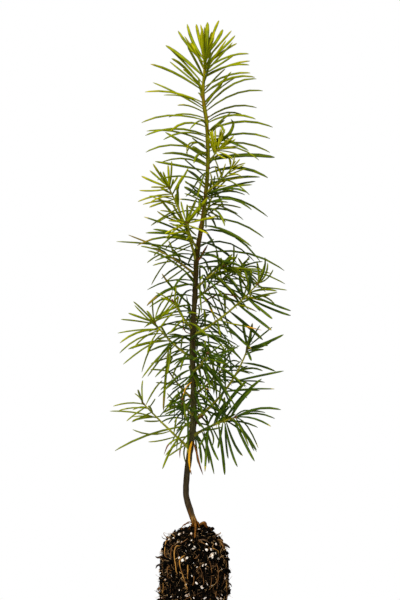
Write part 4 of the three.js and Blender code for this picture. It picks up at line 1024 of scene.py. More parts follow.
def shoot_needles(skin, row, number):
    """The part's rule: needles stand on a golden-angle spiral, closer together toward the bud, and
    their angle to the shoot closes from FOOT_SPREAD to TIP_SPREAD. They are shorter at both its ends.
    On a limb of CLEAR_NEEDLES only SHARE_LEFT in five are left, next to those placed one by one."""
    bare, _, count, longest, droop, tint = row[4:]
    at, slope = shoot_curve(row)
    i = np.arange(count)
    seed = number * 100 + i
    share = 1 - (1 - (i + 0.5) / count) ** 1.35
    t = mix(bare - 0.06, 0.985, share)
    jitter = (chance(seed, 1) - 0.5) * 2 * SPREAD_JITTER
    spread = np.radians(mix(FOOT_SPREAD, TIP_SPREAD, share**1.5) + jitter)
    angle = i * GOLDEN_ANGLE + (chance(seed, 3) - 0.5) * 0.5
    along = slope(t)
    chord = unit(at(1.0) - at(0.0))
    helper = np.array([1.0, 0, 0]) if abs(chord[1]) > 0.8 else np.array([0, 1.0, 0])
    side = np.cross(chord, helper)
    side = unit(side - dot(side, along) * along)
    out = side * np.cos(angle)[:, None] + np.cross(along, side) * np.sin(angle)[:, None]
    heading = along * np.cos(spread)[:, None] + out * np.sin(spread)[:, None]
    length = longest * mix(0.62, 1, np.sin(np.pi * np.clip(share * 1.1, 0, 1)))
    length = length * mix(0.74, 1.08, chance(seed, 5))
    root = at(t) + out * 0.2
    shade = tint + (share - 0.5) * 1.2 + (chance(seed, 4) - 0.5) * 1.5
    width = NEEDLE_WIDTH * mix(SMALL_NEEDLE, 1, ramp(longest, 12, 20))
    inner = row[0] not in CLEAR_NEEDLES
    kept = np.arange(count) % 5 < (5 if inner else SHARE_LEFT)
    parts = (root, heading, along, length, droop * mix(0.2, 1.8, chance(seed, 2)), shade, seed)
    grow_needles(skin, *(part[kept] for part in parts), width * (INNER_WIDTH if inner else 1),
                 INNER_CURL if inner else 1.0)
    clear_needles(skin, row[0], lambda t: (at(t), slope(t)), lambda t: np.full(len(t), tint), width)


def shoot_limb(row, number):
    """A tapering limb round the shoot's curve, ribbed by 8% in three spirals that turn faster on a
    shoot with more needles, and half as thick again where it leaves the stem."""
    girth, count = row[5:7]
    at, _ = shoot_curve(row)
    t = np.linspace(0, 1, 60)
    sides = 12
    angle = np.arange(sides) * 2 * np.pi / sides
    ribs = 1 + 0.08 * np.sin(t[:, None] * count * 2.4 + angle * 3 + number)
    radius = mix(girth, SHOOT_TIP_GIRTH, t)[:, None] / 2 * ribs
    radius = radius * (1 + 0.5 * np.exp(-t[:, None] * 14))
    return rings_along(at(t), radius, sides)


def bud_rings(foot, heading, length, width):
    """Buds: an ovoid whose radius is sin(pi s^0.75)^0.8, lifted by 9% in a spiral of scales."""
    steps, sides = 11, 10
    s = np.linspace(0.0, 1.0, steps)
    angle = np.arange(sides) * 2 * np.pi / sides
    outline = np.maximum(np.sin(np.pi * np.minimum(s + 0.04, 1.0) ** 0.75), 0.03) ** 0.8
    scales = 1 + 0.09 * np.sin(5 * angle[None] + s[:, None] * 22)
    path = foot[:, None] + heading[:, None] * (s[None, :, None] * length[:, None, None])
    radius = outline[None, :, None] * scales[None] * (width / 2)[:, None, None]
    return rings_along(path, radius, sides)


# Pieces of the crown

def fore_and_aft(angle):
    """Turns headings away from the picture plane, where CLEAR_NEEDLES has every needle: the angle a
    plus SIDEWAYS_SQUEEZE times sin 2a gathers them toward the viewer and away from them."""
    return angle + SIDEWAYS_SQUEEZE * np.sin(2 * angle)


def leader_tint_and_shade(height):
    """Tint of the leader's needles: palest over its tip, and darkest from 120 mm below it, partly their own
    colour and partly painted shade of the overhead light.
    """
    return mix(*LEADER_TINTS_AND_SHADE, ramp(STEM_HEIGHT - height, -20, 120))


def on_leader(height):
    """Roots on the leader and its heading there; above the stem's tip the end bud's twig goes on."""
    root = stem_centre(np.minimum(height, STEM_HEIGHT - 0.1))
    root[:, 2] = height + SOIL_HEIGHT
    return root, stem_tangent(np.minimum(height, STEM_HEIGHT - 0.2))


def leader_needles(finishes):
    """Needles on the stem: spread, droop and length grow with the distance d below the tip, by
    1 - exp(-d / 55), 1 - exp(-(d / 26)^2) and a straight line up to 30 mm. In the lower half of the
    crown they are shorter again, by up to 48%."""
    skin = Skin()
    height, angle, _, _ = leader_places()
    count = len(height)
    seed = 5000 + np.arange(count)
    below = STEM_HEIGHT - height
    along = stem_tangent(height)
    out = np.stack([np.cos(angle), np.sin(angle), np.zeros(count)], axis=-1)
    out = unit(out - dot(out, along) * along)
    spread = mix(LEADER_SPREAD[0], LEADER_SPREAD[1], 1 - np.exp(-below / SPREAD_FADE))
    spread = np.radians(spread + (chance(seed, 1) - 0.5) * 16)
    droop = LEADER_DROOP * (1 - np.exp(-((below / DROOP_FADE) ** 2))) * mix(0.6, 1.25, chance(seed, 2))
    length = mix(LEADER_LENGTH[0], LEADER_LENGTH[1], np.clip(below / FULL_GROWN_BELOW, 0, 1))
    length = length * mix(0.7, 1.0, chance(seed, 4)) * mix(0.52, 1, ramp(height, 62, 146))
    heading = along * np.cos(spread)[:, None] + out * np.sin(spread)[:, None]
    root = stem_centre(height) + out * (stem_radius(height) - 0.25)[:, None]
    tint = leader_tint_and_shade(height) - 0.6 + (chance(seed, 5) - 0.5) * 1.2
    grow_needles(skin, root, heading, along, length, droop, tint, seed, LEADER_NEEDLE_WIDTH * 0.78)
    clear_needles(skin, "leader", on_leader, leader_tint_and_shade, LEADER_NEEDLE_WIDTH)
    for row in CURLED_NEEDLES:
        skin.rings(*carried_needle(*row))
    nodes = ["leader_needles_%d" % (n + 1) for n in range(LEADER_MASSES)]
    return skin.piece("leader_needles", finishes, nodes)


def rosette(finishes):
    """Needles round the end bud, off its twig by the first angle of ROSETTE_SPREAD at its foot and by
    the second at the bud."""
    skin = Skin()
    i = np.arange(TIP_NEEDLES)
    seed = 9000 + i
    t = mix(-0.35, 0.95, (i + 0.5) / TIP_NEEDLES)
    foot = stem_centre(np.array(STEM_HEIGHT))
    angle = fore_and_aft(i * GOLDEN_ANGLE)
    out = np.stack([np.cos(angle), np.sin(angle), np.zeros(TIP_NEEDLES)], axis=-1)
    spread = mix(ROSETTE_SPREAD[0], ROSETTE_SPREAD[1], np.maximum(t, 0))
    spread = np.radians(spread + (chance(seed, 1) - 0.5) * 13)
    heading = UP * np.cos(spread)[:, None] + out * np.sin(spread)[:, None]
    length = mix(ROSETTE_LENGTH[0], ROSETTE_LENGTH[1], t) * mix(0.75, 0.96, chance(seed, 4))
    root = foot + UP * (t * TIP_TWIG_LENGTH)[:, None] + out * 0.3
    tint = 6.0 + (chance(seed, 5) - 0.5) * 0.8
    grow_needles(skin, root, heading, np.broadcast_to(UP, heading.shape), length,
                 np.full(TIP_NEEDLES, ROSETTE_DROOP), tint, seed, LEADER_NEEDLE_WIDTH * 0.9)
    return skin.piece("rosette_needles", finishes, ["leader_tip"])


def side_needles(finishes):
    """The needles of all side shoots, in two joined pieces: the lower crown and the upper one."""
    low, high = range(LOW_SHOOTS), range(LOW_SHOOTS, len(SHOOTS))
    for name, rows in (("low_needles", low), ("high_needles", high)):
        skin = Skin()
        for number in rows:
            shoot_needles(skin, SHOOTS[number], number + 1)
        skin.piece(name, finishes, ["needles_" + SHOOTS[number][0] for number in rows])


def side_shoots():
    """Limbs of all side shoots, in one piece. Those of LIME_SHOOTS and all above LIME_ABOVE are lime,
    and of the others every third in the row is amber and the rest olive."""
    skin = Skin()
    for number, row in enumerate(SHOOTS):
        tone = 2 if row[1] > LIME_ABOVE or row[0] in LIME_SHOOTS else int(number % 3 == 2)
        skin.rings(shoot_limb(row, number), tone)
    finishes = [
        shoot_bark_finish("shoot_bark_olive", "#a6a22e", "#848618", "#605e14"),
        shoot_bark_finish("shoot_bark_amber", "#b3a028", "#8f821a", "#645618"),
        shoot_bark_finish("shoot_bark_lime", "#b4b234", "#929818", "#746c14"),
    ]
    nodes = ["bough_" + row[0] for row in SHOOTS]
    return skin.piece("side_shoots", finishes, nodes)


# Buds, length and width: at a shoot's end, beside it, in the needle axils of the leader and at its end
SHOOT_BUD = (2.1, 1.2)
SIDE_BUD = (1.5, 0.9)
AXIL_BUD = (1.7, 1.1)
LEADER_BUD = (3.6, 1.9)
# Where the axil buds are: height over the soil and bearing
AXIL_BUDS = np.array([(186.0, 2.4), (196.5, 5.5), (214.5, 0.3), (224.4, 6.0), (235.4, 3.4), (241.0, 1.2)])


def resting_buds():
    """An end bud with two side buds behind it on each shoot, a stout one on the leader, and a few in
    the leader's needle axils."""
    skin = Skin()

    def bud(foot, heading, size, grown=1.0):
        length, width = (np.full(len(foot), measure) * grown for measure in size)
        skin.rings(bud_rings(foot, heading, length, width))

    for row in SHOOTS:
        at, slope = shoot_curve(row)
        tip, along = at(0.99), slope(0.99)
        grown = mix(0.55, 1, ramp(row[7], 12, 22))
        bud(tip[None], along[None], SHOOT_BUD, grown)
        aside = unit(np.cross(along, UP + 0.3))
        for turn in (1, -1):
            heading = unit(along + aside * turn * 0.9)
            foot = at(0.975) + aside * turn * 0.25
            bud(foot[None], heading[None], SIDE_BUD, grown)
    height, angle = AXIL_BUDS.T
    out = unit(np.stack([np.cos(angle), np.sin(angle), np.full(len(height), 0.9)], axis=-1))
    foot = stem_centre(height) + out * (stem_radius(height) * 0.8)[:, None]
    bud(foot, out, AXIL_BUD)
    end = stem_centre(np.array([STEM_HEIGHT])) + UP * (TIP_TWIG_LENGTH - 0.4)
    bud(end, UP[None], LEADER_BUD)
    return skin.piece("resting_buds", [bud_finish()], ["bough_top_front"])


# Spent needles and the dead twigs between them: path knots over the soil, width, and finishes of
# their inner two thirds and of their outer third
SPENT_NEEDLES = [
    ([(-0.9, -1.2, 47.4), (-2.2, -4.0, 43), (-2.7, -5.0, 37), (-2.0, -4.6, 30)], 1.25, GOLD, GOLD),
    ([(-1.9, -4.6, 31.4), (-1.7, -4.5, 30), (-1.4, -4.3, 28.8)], 0.6, RUST, DRY_BROWN),
    ([(-0.4, -1.0, 46.6), (1.4, -3.2, 41), (3.0, -4.2, 34.4), (5.0, -4.8, 28.6)], 1.15, RUST, DRY_BROWN),
    ([(-1.6, -1.0, 50), (-9, -7, 49), (-14, -9, 46), (-16.5, -10, 40.5)], 0.9, 5, RUST),
    ([(-2.0, -1.0, 52), (-6, -6, 48), (-7.6, -8, 43), (-7.8, -8.6, 38.4)], 0.9, 4, RUST),
    ([(-0.9, -1.1, 80), (-4.4, -4, 77), (-6.2, -5.4, 71), (-6.8, -5.6, 65.2)], 0.6, GOLD, RUST),
    ([(0.6, 1.0, 121), (14, 1.4, 128), (26, 1.0, 126), (36.5, 0.5, 123.6)], 0.8, RUST, SCORCHED),
    ([(13.6, -2.9, 114.0), (20, -4.6, 112.4), (29, -5.6, 110.6), (37.4, -6, 108.6)], 0.9, 6, GOLD),
    ([(28.6, -6.2, 127.6), (33.5, -7.0, 126.0), (39, -7.4, 124.8), (44.5, -7.6, 123.2)], 0.9, 7, GOLD),
    ([(23.4, -5.0, 122.4), (27, -6.2, 122.1), (31, -6.6, 120.6), (34.6, -6.8, 118.8)], 0.9, 6, SCORCHED),
    ([(0.2, -0.6, 58.0), (2.4, -2.2, 59.4), (4.2, -2.8, 60.8), (6.0, -3.2, 61.8)], 1.1, DRY_BROWN, DRY_BROWN),
    ([(0.2, -0.6, 56.4), (1.8, -2.2, 57.2), (3.2, -3.0, 57.4)], 1.2, DRY_BROWN, RUST),
    ([(-0.6, -0.4, 106), (-4.6, -2.4, 107.6), (-6.0, -3.0, 111.5), (-5.0, -3.2, 115.4)], 0.6, RUST, RUST),
    ([(13.6, -2.9, 114.0), (11.6, -4.4, 116.4), (9.8, -5.0, 119), (8.4, -5.2, 121)], 0.8, 7, GOLD),
    ([(-0.3, -0.8, 79.4), (2.6, -3.4, 78.6), (6, -4.4, 77), (9.4, -4.8, 74.9)], 0.6, 6, GOLD),
    ([(1.6, -0.5, 146.0), (3.9, -2.0, 149), (5.8, -2.6, 152.4), (7.7, -2.8, 155.7)], 1.3, RUST, DRY_BROWN),
]


def spent_needles(finishes):
    """Gold and brown needles at the crown's foot, dried ones that hang in it, and dead twigs."""
    skin = Skin()
    for row in SPENT_NEEDLES:
        skin.rings(*carried_needle(*row))
    return skin.piece("spent_needles_dry", finishes, ["spent_needles"])


# Stem

# Thin roots on the stem's foot: path knots over the soil, and girth
COLLAR_STRANDS = [
    ([(0.3, -1.4, 4.2), (0.7, -2.6, 1.7), (0.9, -4.6, -0.2), (0.8, -7.6, -1.2), (0.6, -10.4, -2.6),
      (0.4, -12.4, -5.2)], 1.3),
    ([(-0.4, -1.5, 2.2), (-0.9, -2.4, 0.8), (-2.0, -3.0, -0.4), (-3.2, -3.6, -1.8)], 0.5),
    ([(1.6, -1.2, 2.4), (2.4, -2.4, 1.2), (3.0, -3.4, -0.6)], 0.8),
    ([(0.2, 1.2, 2.6), (-0.6, 2.6, 1.0), (-1.2, 4.0, -1.2)], 0.9),
    ([(-0.8, -1.0, 1.5), (-2.6, -1.6, 2.1), (-4.6, -2.0, 1.2), (-6.4, -2.4, -0.2), (-7.0, -2.6, -2.2)], 0.75),
    ([(-1.0, -1.2, 0.4), (-3.2, -2.4, 1.4), (-5.0, -2.8, 0.4), (-6.0, -3.2, -2.6)], 0.35),
]
# Where the stem swells: height over the soil, swelling and reach either way
STEM_KNOTS = [(94, 0.2, 3.0), (54, 0.18, 2.5), (110.5, 0.3, 3.0)]
SHOOT_KNOT = (0.13, 1.8)
# How many needles left a scar with its ridge on the stem's front, and how many a peg all round it
SCARS = 150
PEGS = 90
PEG_SIZE = (0.3, 0.62)
FURROW_DEPTH = (0.09, 0.02)


def leader_places():
    """Heights and bearings of every needle on the leader: the rule's, on a golden-angle spiral but
    for the few that would hide the stem, and then those of CLEAR_NEEDLES, by their tip's bearing."""
    count = int((LEADER_TO - LEADER_FROM) * LEADER_PER_MM)
    i = np.arange(count)
    height = mix(LEADER_FROM, LEADER_TO, ((i + 0.5) / count) ** CROWDING)
    angle = i * GOLDEN_ANGLE + (chance(5000 + i, 3) - 0.5) * 0.4
    angle = np.where(height > CLEAR_ABOVE, fore_and_aft(angle), angle)
    hides = np.cos(angle + np.pi / 2) > mix(0.86, 1.02, chance(i, 16))
    height, angle = height[~hides], angle[~hides]
    rows = placed_needles("leader")
    return height, angle, rows[:, 0], np.arctan2(rows[:, 2], rows[:, 1])


def leaf_cushions(height, angle):
    """Ridges that run down the stem from each leader needle, and from the scars of those that fell
    off its front: a bell across, 0.4 rad wide, times a rise over 0.5 mm above the needle's foot and a
    fade over 6 mm below it."""
    rule_height, rule_angle, clear_height, clear_angle = leader_places()
    i = np.arange(SCARS)
    foot = np.concatenate([rule_height, clear_height, mix(100, STEM_HEIGHT, chance(i, 17))])
    bearing = np.concatenate([rule_angle, clear_angle, mix(-2.6, -0.5, chance(i, 18))])
    below = foot[:, None] - height[None]
    along = np.where(below < 0, np.exp(-((below / 0.5) ** 2)), np.exp(-((below / 6.0) ** 2)))
    turn = np.abs((angle[None] - bearing[:, None] + np.pi) % (2 * np.pi) - np.pi)
    across = np.exp(-((turn / 0.4) ** 2))
    return np.clip(along.T @ across, 0, 1.3)


def stem_bark(finishes):
    """The stem's skin: its radius plus a relief of lengthwise furrows, the ridges under the needles,
    and a swelling exp(-(d / reach)^2) at each shoot and each of STEM_KNOTS. Furrows are the random
    field stretched ten times along the stem, 0.09 mm deep at the foot and 0.02 mm at the tip. The
    radius loses 0.12 mm between 90 and 180 mm of height, and has it back from 225 to 238 mm. Ridges
    above the lower crown are green, the rest is bark. Pegs left by fallen needles, the root of the
    collar and COLLAR_STRANDS are part of the piece."""
    skin = Skin()
    steps, sides = 760, 44
    height = mix(-2.4, STEM_HEIGHT + TIP_TWIG_LENGTH, np.linspace(0, 1, steps))
    route = stem_centre(np.clip(height, 0, STEM_HEIGHT))
    route[:, 2] = height + SOIL_HEIGHT
    taper = np.where(height > STEM_HEIGHT,
                     mix(STEM_TIP_GIRTH, TIP_TWIG_GIRTH, (height - STEM_HEIGHT) / TIP_TWIG_LENGTH) / 2,
                     stem_radius(height))
    angle = np.arange(sides) * 2 * np.pi / sides
    around = np.stack(np.broadcast_arrays(
        np.cos(angle)[None] * taper[:, None],
        np.sin(angle)[None] * taper[:, None],
        height[:, None] / 10), axis=-1)
    depth = mix(*FURROW_DEPTH, ramp(height, 10, 150))[:, None]
    furrows = grain(around, 0.42, 3.0) * depth + grain(around, 1.1, 4.0) * depth * 1.3
    rumple = grain(around * [1, 1, 6], 1.7, 5.0) * mix(0.15, 0.05, ramp(height, 60, 160))[:, None]
    knots = sum(size * np.exp(-((height - place) / reach) ** 2) for place, size, reach in STEM_KNOTS)
    size, reach = SHOOT_KNOT
    knots = knots + sum(size * np.exp(-((height - row[1]) / reach) ** 2) for row in SHOOTS)
    cushions = leaf_cushions(height, angle)
    radius = taper[:, None] + furrows + rumple + knots[:, None]
    radius = radius + cushions * mix(0.08, 0.17, ramp(height, 60, 160))[:, None]
    radius = radius - 0.12 * ramp(height, 90, 180)[:, None]
    radius = radius + 0.12 * (ramp(height, 200, 225) * (1 - ramp(height, 238, 250)))[:, None]
    limit = mix(1.6, 0.75, ramp(height[:-1], 140, 225))[:, None]
    green = cushions[:-1] + grain(around[:-1], 0.9, 6.0) * 0.5 > limit
    skin.rings(rings_along(route, radius, sides, start=np.array([1.0, 0, 0])), green.astype(int))
    route = through(COLLAR_ROUTE + UP * SOIL_HEIGHT, 40)
    t = np.linspace(0, 1, 40)
    swell = COLLAR_ROOT_RADIUS + COLLAR_ROOT_SWELL * np.sin(np.pi * t**1.6)
    angle = np.arange(24) * 2 * np.pi / 24
    around = np.stack(np.broadcast_arrays(
        np.cos(angle)[None] * 1.6,
        np.sin(angle)[None] * 1.6,
        t[:, None] * 3), axis=-1)
    radius = swell[:, None] + grain(around, 0.7, 7.0) * 0.3 + grain(around, 0.35, 8.0) * 0.1
    skin.rings(rings_along(route, radius, 24))
    corners, tris = ball(2, 6)
    i = np.arange(PEGS)
    height = mix(44, 168, chance(i, 19))
    angle = chance(i, 20) * 2 * np.pi
    out = np.stack([np.cos(angle), np.sin(angle), np.full(PEGS, 0.5)], axis=-1)
    centre = stem_centre(height) + out * (stem_radius(height) - 0.02)[:, None]
    size = mix(*PEG_SIZE, chance(i, 21))
    skin.lumps(lump_points(centre, unit(out), size, np.full(PEGS, 0.6), corners, i), tris)
    for knots, girth in COLLAR_STRANDS:
        path = through(np.array(knots, float) + UP * SOIL_HEIGHT, 30)
        s = np.linspace(0, 1, 30)
        radius = girth / 2 * mix(1.0, 0.6, s) * (1 + 0.15 * np.sin(s * 23))
        skin.rings(rings_along(path, radius, 8))
    return skin.piece("stem_bark", finishes, ["stem"])


# Root ball

# Columns of points round the peat's skin
PLUG_COLUMNS = 330
# How many of each are dealt by the rule, their least and greatest sizes, and the heap at the collar
CRUMBS = 6000
CRUMB_RADIUS = (0.22, 1.7)
COLLAR_CRUMBS = 300
COLLAR_CRUMB_RADIUS = (0.35, 1.0)
HEAP_RADIUS = 8.0
HEAP_HEIGHT = 3.2
FIBRES = 4900
FIBRE_LENGTH = (0.8, 5.0)
FIBRE_GIRTH = (0.12, 0.45)
GRAINS = 360
GRAIN_SIZE = (0.5, 2.6)
WALL_ROOTS = 30
WALL_ROOT_GIRTH = (0.4, 0.8)
WALL_ROOT_LENGTH = (14, 80)
SIDE_ROOTS = 150
SIDE_ROOT_GIRTH = (0.14, 0.32)
SIDE_ROOT_LENGTH = (4, 13)
# From this height up the tables give the roots and the perlite on the front
FRONT_FROM = 79.0


def plug_skin_point(angle, along):
    """Points of the plug's outline. along runs from 0 at the middle of the
    underside, over the foot's edge, up the wall and over the shoulder, to 1 at the stem."""
    z = mix(0.0, PLUG_TOP, np.clip((along - 0.1) / 0.8, 0, 1))
    wall = plug_radius(z)
    rounding = np.sin(np.clip(z / PLUG_FOOT_EDGE, 0, 1) * np.pi / 2)
    foot = np.where(z < PLUG_FOOT_EDGE, mix(PLUG_FOOT_RADIUS, plug_radius(PLUG_FOOT_EDGE), rounding), wall)
    radius = np.where(along < 0.1, PLUG_FOOT_RADIUS * along / 0.1, foot)
    radius = np.where(along > 0.9, PLUG_SEAT_RADIUS * (1 - along) / 0.1, radius)
    return np.stack([radius * np.cos(angle), radius * np.sin(angle), z], axis=-1)


def crumbly(points):
    """How far the peat stands out of the plug's outline: lumps of 5, 2 and 0.9 mm, pits, and a
    shift inward, more at the shoulder, so that the loose crumbs make up the outline."""
    coarse = grain(points, 5.0, 11.0) * 0.7
    middle = grain(points, 2.1, 12.0) * 0.8
    fine = np.abs(grain(points, 0.95, 13.0)) * 1.1 - 0.5
    pits = -1.6 * ramp(grain(points, 1.7, 14.0), 0.25, 0.7)
    slumped = -1.1 * ramp(points[..., 2], 108, 116)
    return coarse + middle + fine + pits + slumped - 0.9


def peat_plug(finishes):
    """The plug's skin: its outline pushed out or in by crumbly() along its normal, flat below."""
    skin = Skin()
    angle = (np.arange(PLUG_COLUMNS) * 2 * np.pi / PLUG_COLUMNS)[None]
    along = np.concatenate([np.linspace(0.012, 0.1, 12)[:-1], np.linspace(0.1, 0.84, 150)[:-1],
                            np.linspace(0.84, 0.9, 36)[:-1], np.linspace(0.9, 0.988, 18)])[:, None]
    angle, along = np.broadcast_arrays(angle, along)
    base = plug_skin_point(angle, along)
    around = np.stack([-np.sin(angle), np.cos(angle), np.zeros_like(angle)], axis=-1)
    normal = unit(np.cross(around, np.gradient(base, axis=0)))
    rough = crumbly(base) * ramp(base[..., 2], 0.2, 3.0) * mix(1.0, 0.4, ramp(along, 0.93, 0.98))
    points = base + normal * rough[..., None]
    points[..., 2] = np.clip(points[..., 2], 0.0, PLUG_TOP + 0.4)
    brown = grain(points[:-1], 0.8, 21.0) + 0.6 * grain(points[:-1], 0.45, 22.0) > 0.68
    skin.rings(points, brown.astype(int))
    return skin.piece("peat_plug", finishes, ["root_ball"])


def outward(angle, z):
    """Unit vector out of the plug's skin at a height, from the slope of its outline."""
    lean = (plug_radius(z - 0.3) - plug_radius(z + 0.3)) / 0.6
    return unit(np.stack([np.cos(angle), np.sin(angle), np.clip(lean, -3, 3)], axis=-1))


def on_plug(angle, z, lift=0.0):
    """Points on the plug's skin by bearing and height, lifted along its outward vector."""
    skin = plug_radius(z)
    point = np.stack([skin * np.cos(angle), skin * np.sin(angle), z], axis=-1)
    return point + outward(angle, z) * np.asarray(lift)[..., None]


def on_front(across, down):
    """Bearing and height of the places on the plug's front that the photo's pixels show. The pixel's
    ray is met with the depth -sqrt(r^2 - x^2) that the skin has at its height, over and over until
    it holds still. Rounded to 0.01 rad and 0.1 mm."""
    depth = np.full(np.shape(across), -PLUG_RADIUS)
    for _ in range(60):
        point = on_ray(across, down, depth)
        z = np.minimum(point[..., 2], PLUG_EDGE)
        depth = -np.sqrt(np.maximum(plug_radius(z) ** 2 - point[..., 0] ** 2, 0))
    return np.round(np.arctan2(depth, point[..., 0]), 2), np.round(z, 1)


def scattered(count, seed, low=1.5, high=119.2):
    """Places on the plug's skin: golden-angle spiral upward with a random step either way."""
    i = np.arange(count)
    angle = i * GOLDEN_ANGLE + (chance(i, seed) - 0.5) * 0.8
    z = mix(low, high, np.clip((i + chance(i, seed + 1) * 3 - 1.5) / count, 0, 1))
    return angle, z, i


def ball(rows, columns):
    """Corners and triangles of a unit ball: rows of points between two poles."""
    lat = np.linspace(0, np.pi, rows + 2)[1:-1]
    lon = np.arange(columns) * 2 * np.pi / columns
    grid = np.stack([np.sin(lat)[:, None] * np.cos(lon), np.sin(lat)[:, None] * np.sin(lon),
                     np.broadcast_to(np.cos(lat)[:, None], (rows, columns))], axis=-1)
    corners = np.concatenate([grid.reshape(-1, 3), [[0, 0, 1.0], [0, 0, -1.0]]])
    ids = np.arange(rows * columns).reshape(rows, columns)
    after = np.roll(ids, -1, axis=1)
    top, bottom = rows * columns, rows * columns + 1
    sheets = [np.stack([ids[:-1], ids[1:], after[1:]], -1),
              np.stack([ids[:-1], after[1:], after[:-1]], -1),
              np.stack([np.full(columns, top), ids[0], after[0]], -1)[None],
              np.stack([np.full(columns, bottom), after[-1], ids[-1]], -1)[None]]
    return corners, np.concatenate([sheet.reshape(-1, 3) for sheet in sheets])


def lump_points(centre, normal, size, flat, corners, seed, jag=0.56, slim=0.45):
    """Uneven stones: each corner of the ball goes out by 1 +- half of the jag at random, the ball is
    squeezed along its second axis by between slim and 1 and along its third by flat, and it is
    turned so that its third axis is the skin's normal."""
    batch = len(centre)
    which = np.arange(len(corners))[None] + seed[:, None] * 37.0
    uneven = corners[None] * (1 + (chance(which, 5.0) - 0.5) * jag)[..., None]
    uneven = uneven * np.stack([np.ones(batch), mix(slim, 1, chance(seed, 31)), flat], -1)[:, None]
    spin = chance(seed, 32) * 2 * np.pi
    first = unit(np.cross(normal, unit(np.stack([np.cos(spin), np.sin(spin), np.sin(spin * 2)], -1))))
    second = np.cross(normal, first)
    turned = uneven[..., :1] * first[:, None] + uneven[..., 1:2] * second[:, None]
    turned = turned + uneven[..., 2:] * normal[:, None]
    return centre[:, None] + turned * size[:, None, None]


# Crumbs that lie against the stem's foot: place over the soil, and length
FOOT_CRUMBS = np.array([
    (2.5, -1.1, 1.5, 1.5), (3.3, -1.8, 0.6, 1.2), (4.2, -1.7, 0.7, 1.3), (3.1, -2.4, -0.1, 1.4),
    (4.8, -2.2, 0, 1.3), (1.9, -2.0, 0.4, 1.2), (1.9, -2.8, -0.5, 1.6), (-0.7, -1.9, 0.1, 1.2),
    (-1.5, -1.4, 0.2, 1.5), (-1.3, -2.4, -0.7, 1.5), (-2.4, -1.2, -0.5, 1.6), (-0.3, -2.8, -0.9, 1.4),
    (5.8, -2.4, -0.7, 1.5), (-3.2, -2.0, -0.9, 1.5), (2.6, 1.2, 0.3, 1.5), (-1.2, 1.4, 0, 1.5),
])


def peat_crumbs(finishes):
    """Loose crumbs and bark scraps on the peat: uneven lumps, about 0.4 to 3.6 mm long, of which the
    small ones are of three tones and those over 1.6 mm dark, more of them heaped round the collar,
    and those of FOOT_CRUMBS."""
    skin = Skin()
    corners, tris = ball(2, 5)
    angle, z, i = scattered(CRUMBS, 41)
    size = mix(*CRUMB_RADIUS, chance(i, 43) ** 4.2)
    base = on_plug(angle, z)
    lift = crumbly(base) + size * mix(0.0, 0.9, chance(i, 44))
    centre = base + outward(angle, z) * lift[:, None]
    centre[:, 2] = np.clip(centre[:, 2], 1.3, PLUG_TOP + 0.5)
    tilt = unit(outward(angle, z) + 1.2 * (np.stack([chance(i, k) for k in (45, 46, 47)], -1) - 0.5))
    flat = mix(0.25, 0.8, chance(i, 48))
    tone = np.where(size > 0.8, 0, np.digitize(chance(i, 49), [0.62, 0.86]))
    skin.lumps(lump_points(centre, tilt, size, flat, corners, i), tris, tone)
    i = np.arange(COLLAR_CRUMBS) + 9000
    reach = HEAP_RADIUS * np.sqrt(chance(i, 1))
    turn = chance(i, 2) * 2 * np.pi
    heap = HEAP_HEIGHT * (1 - reach / HEAP_RADIUS) * mix(0.3, 1, chance(i, 3))
    centre = np.stack([3.4 + reach * np.cos(turn), reach * np.sin(turn) * 0.8, PLUG_TOP - 1.9 + heap], -1)
    tilt = unit(UP + np.stack([chance(i, k) for k in (4, 5, 6)], -1) - 0.5)
    size = mix(*COLLAR_CRUMB_RADIUS, chance(i, 7))
    flat = mix(0.4, 0.9, chance(i, 8))
    tone = np.digitize(chance(i, 9), [0.66, 0.9])
    skin.lumps(lump_points(centre, tilt, size, flat, corners, i), tris, tone)
    i = np.arange(len(FOOT_CRUMBS)) + 9400
    tilt = unit(UP + 1.5 * (np.stack([chance(i, k) for k in (4, 5, 6)], -1) - 0.5))
    centre = FOOT_CRUMBS[:, :3] + UP * SOIL_HEIGHT
    flat = mix(0.6, 0.9, chance(i, 8))
    skin.lumps(lump_points(centre, tilt, FOOT_CRUMBS[:, 3] / 2, flat, corners, i), tris, 0)
    return skin.piece("peat_crumbs", finishes, ["root_ball"], smooth=False)


def in_view(angle, z):
    """The stretch of the root ball whose roots and perlite FRONT_ROOTS and FRONT_PERLITE give."""
    return (np.sin(angle) < -0.05) & (z > FRONT_FROM)


def perlite_grains(finish_made):
    """Perlite in the peat: jagged grains, slimmer than they are long, most about 1 mm long and a few
    up to 4 mm. Those of FRONT_PERLITE lie where they show, and the others are dealt round the rest
    of the plug."""
    skin = Skin()
    angle, z, i = scattered(GRAINS, 51, 3.0, 118.4)
    size = mix(*GRAIN_SIZE, chance(i, 53) ** 4)
    kept = ~in_view(angle, z)
    across, down, broad = np.array(FRONT_PERLITE).T
    bearing, high = on_front(across, down)
    angle, z = np.append(angle[kept], bearing), np.append(z[kept], high)
    size = np.append(size[kept], broad)
    i = np.append(i[kept], 700 + np.arange(len(broad)))
    base = on_plug(angle, z)
    rise = np.where(in_view(angle, z), 0.28, -0.05) * size
    centre = base + outward(angle, z) * (np.clip(crumbly(base), -1.1, 1.0) + rise)[:, None]
    corners, tris = ball(2, 6)
    tilt = unit(outward(angle, z) + 0.9 * (np.stack([chance(i, k) for k in (55, 56, 57)], -1) - 0.5))
    size = size * mix(0.58, 0.74, ramp(z, 95, 106))
    flat = mix(0.3, 0.7, chance(i, 54))
    stones = lump_points(centre, tilt, size, flat, corners, i, jag=1.25, slim=0.3)
    skin.lumps(stones, tris)
    return skin.piece("perlite_grains", [finish_made], ["root_ball"], smooth=False)


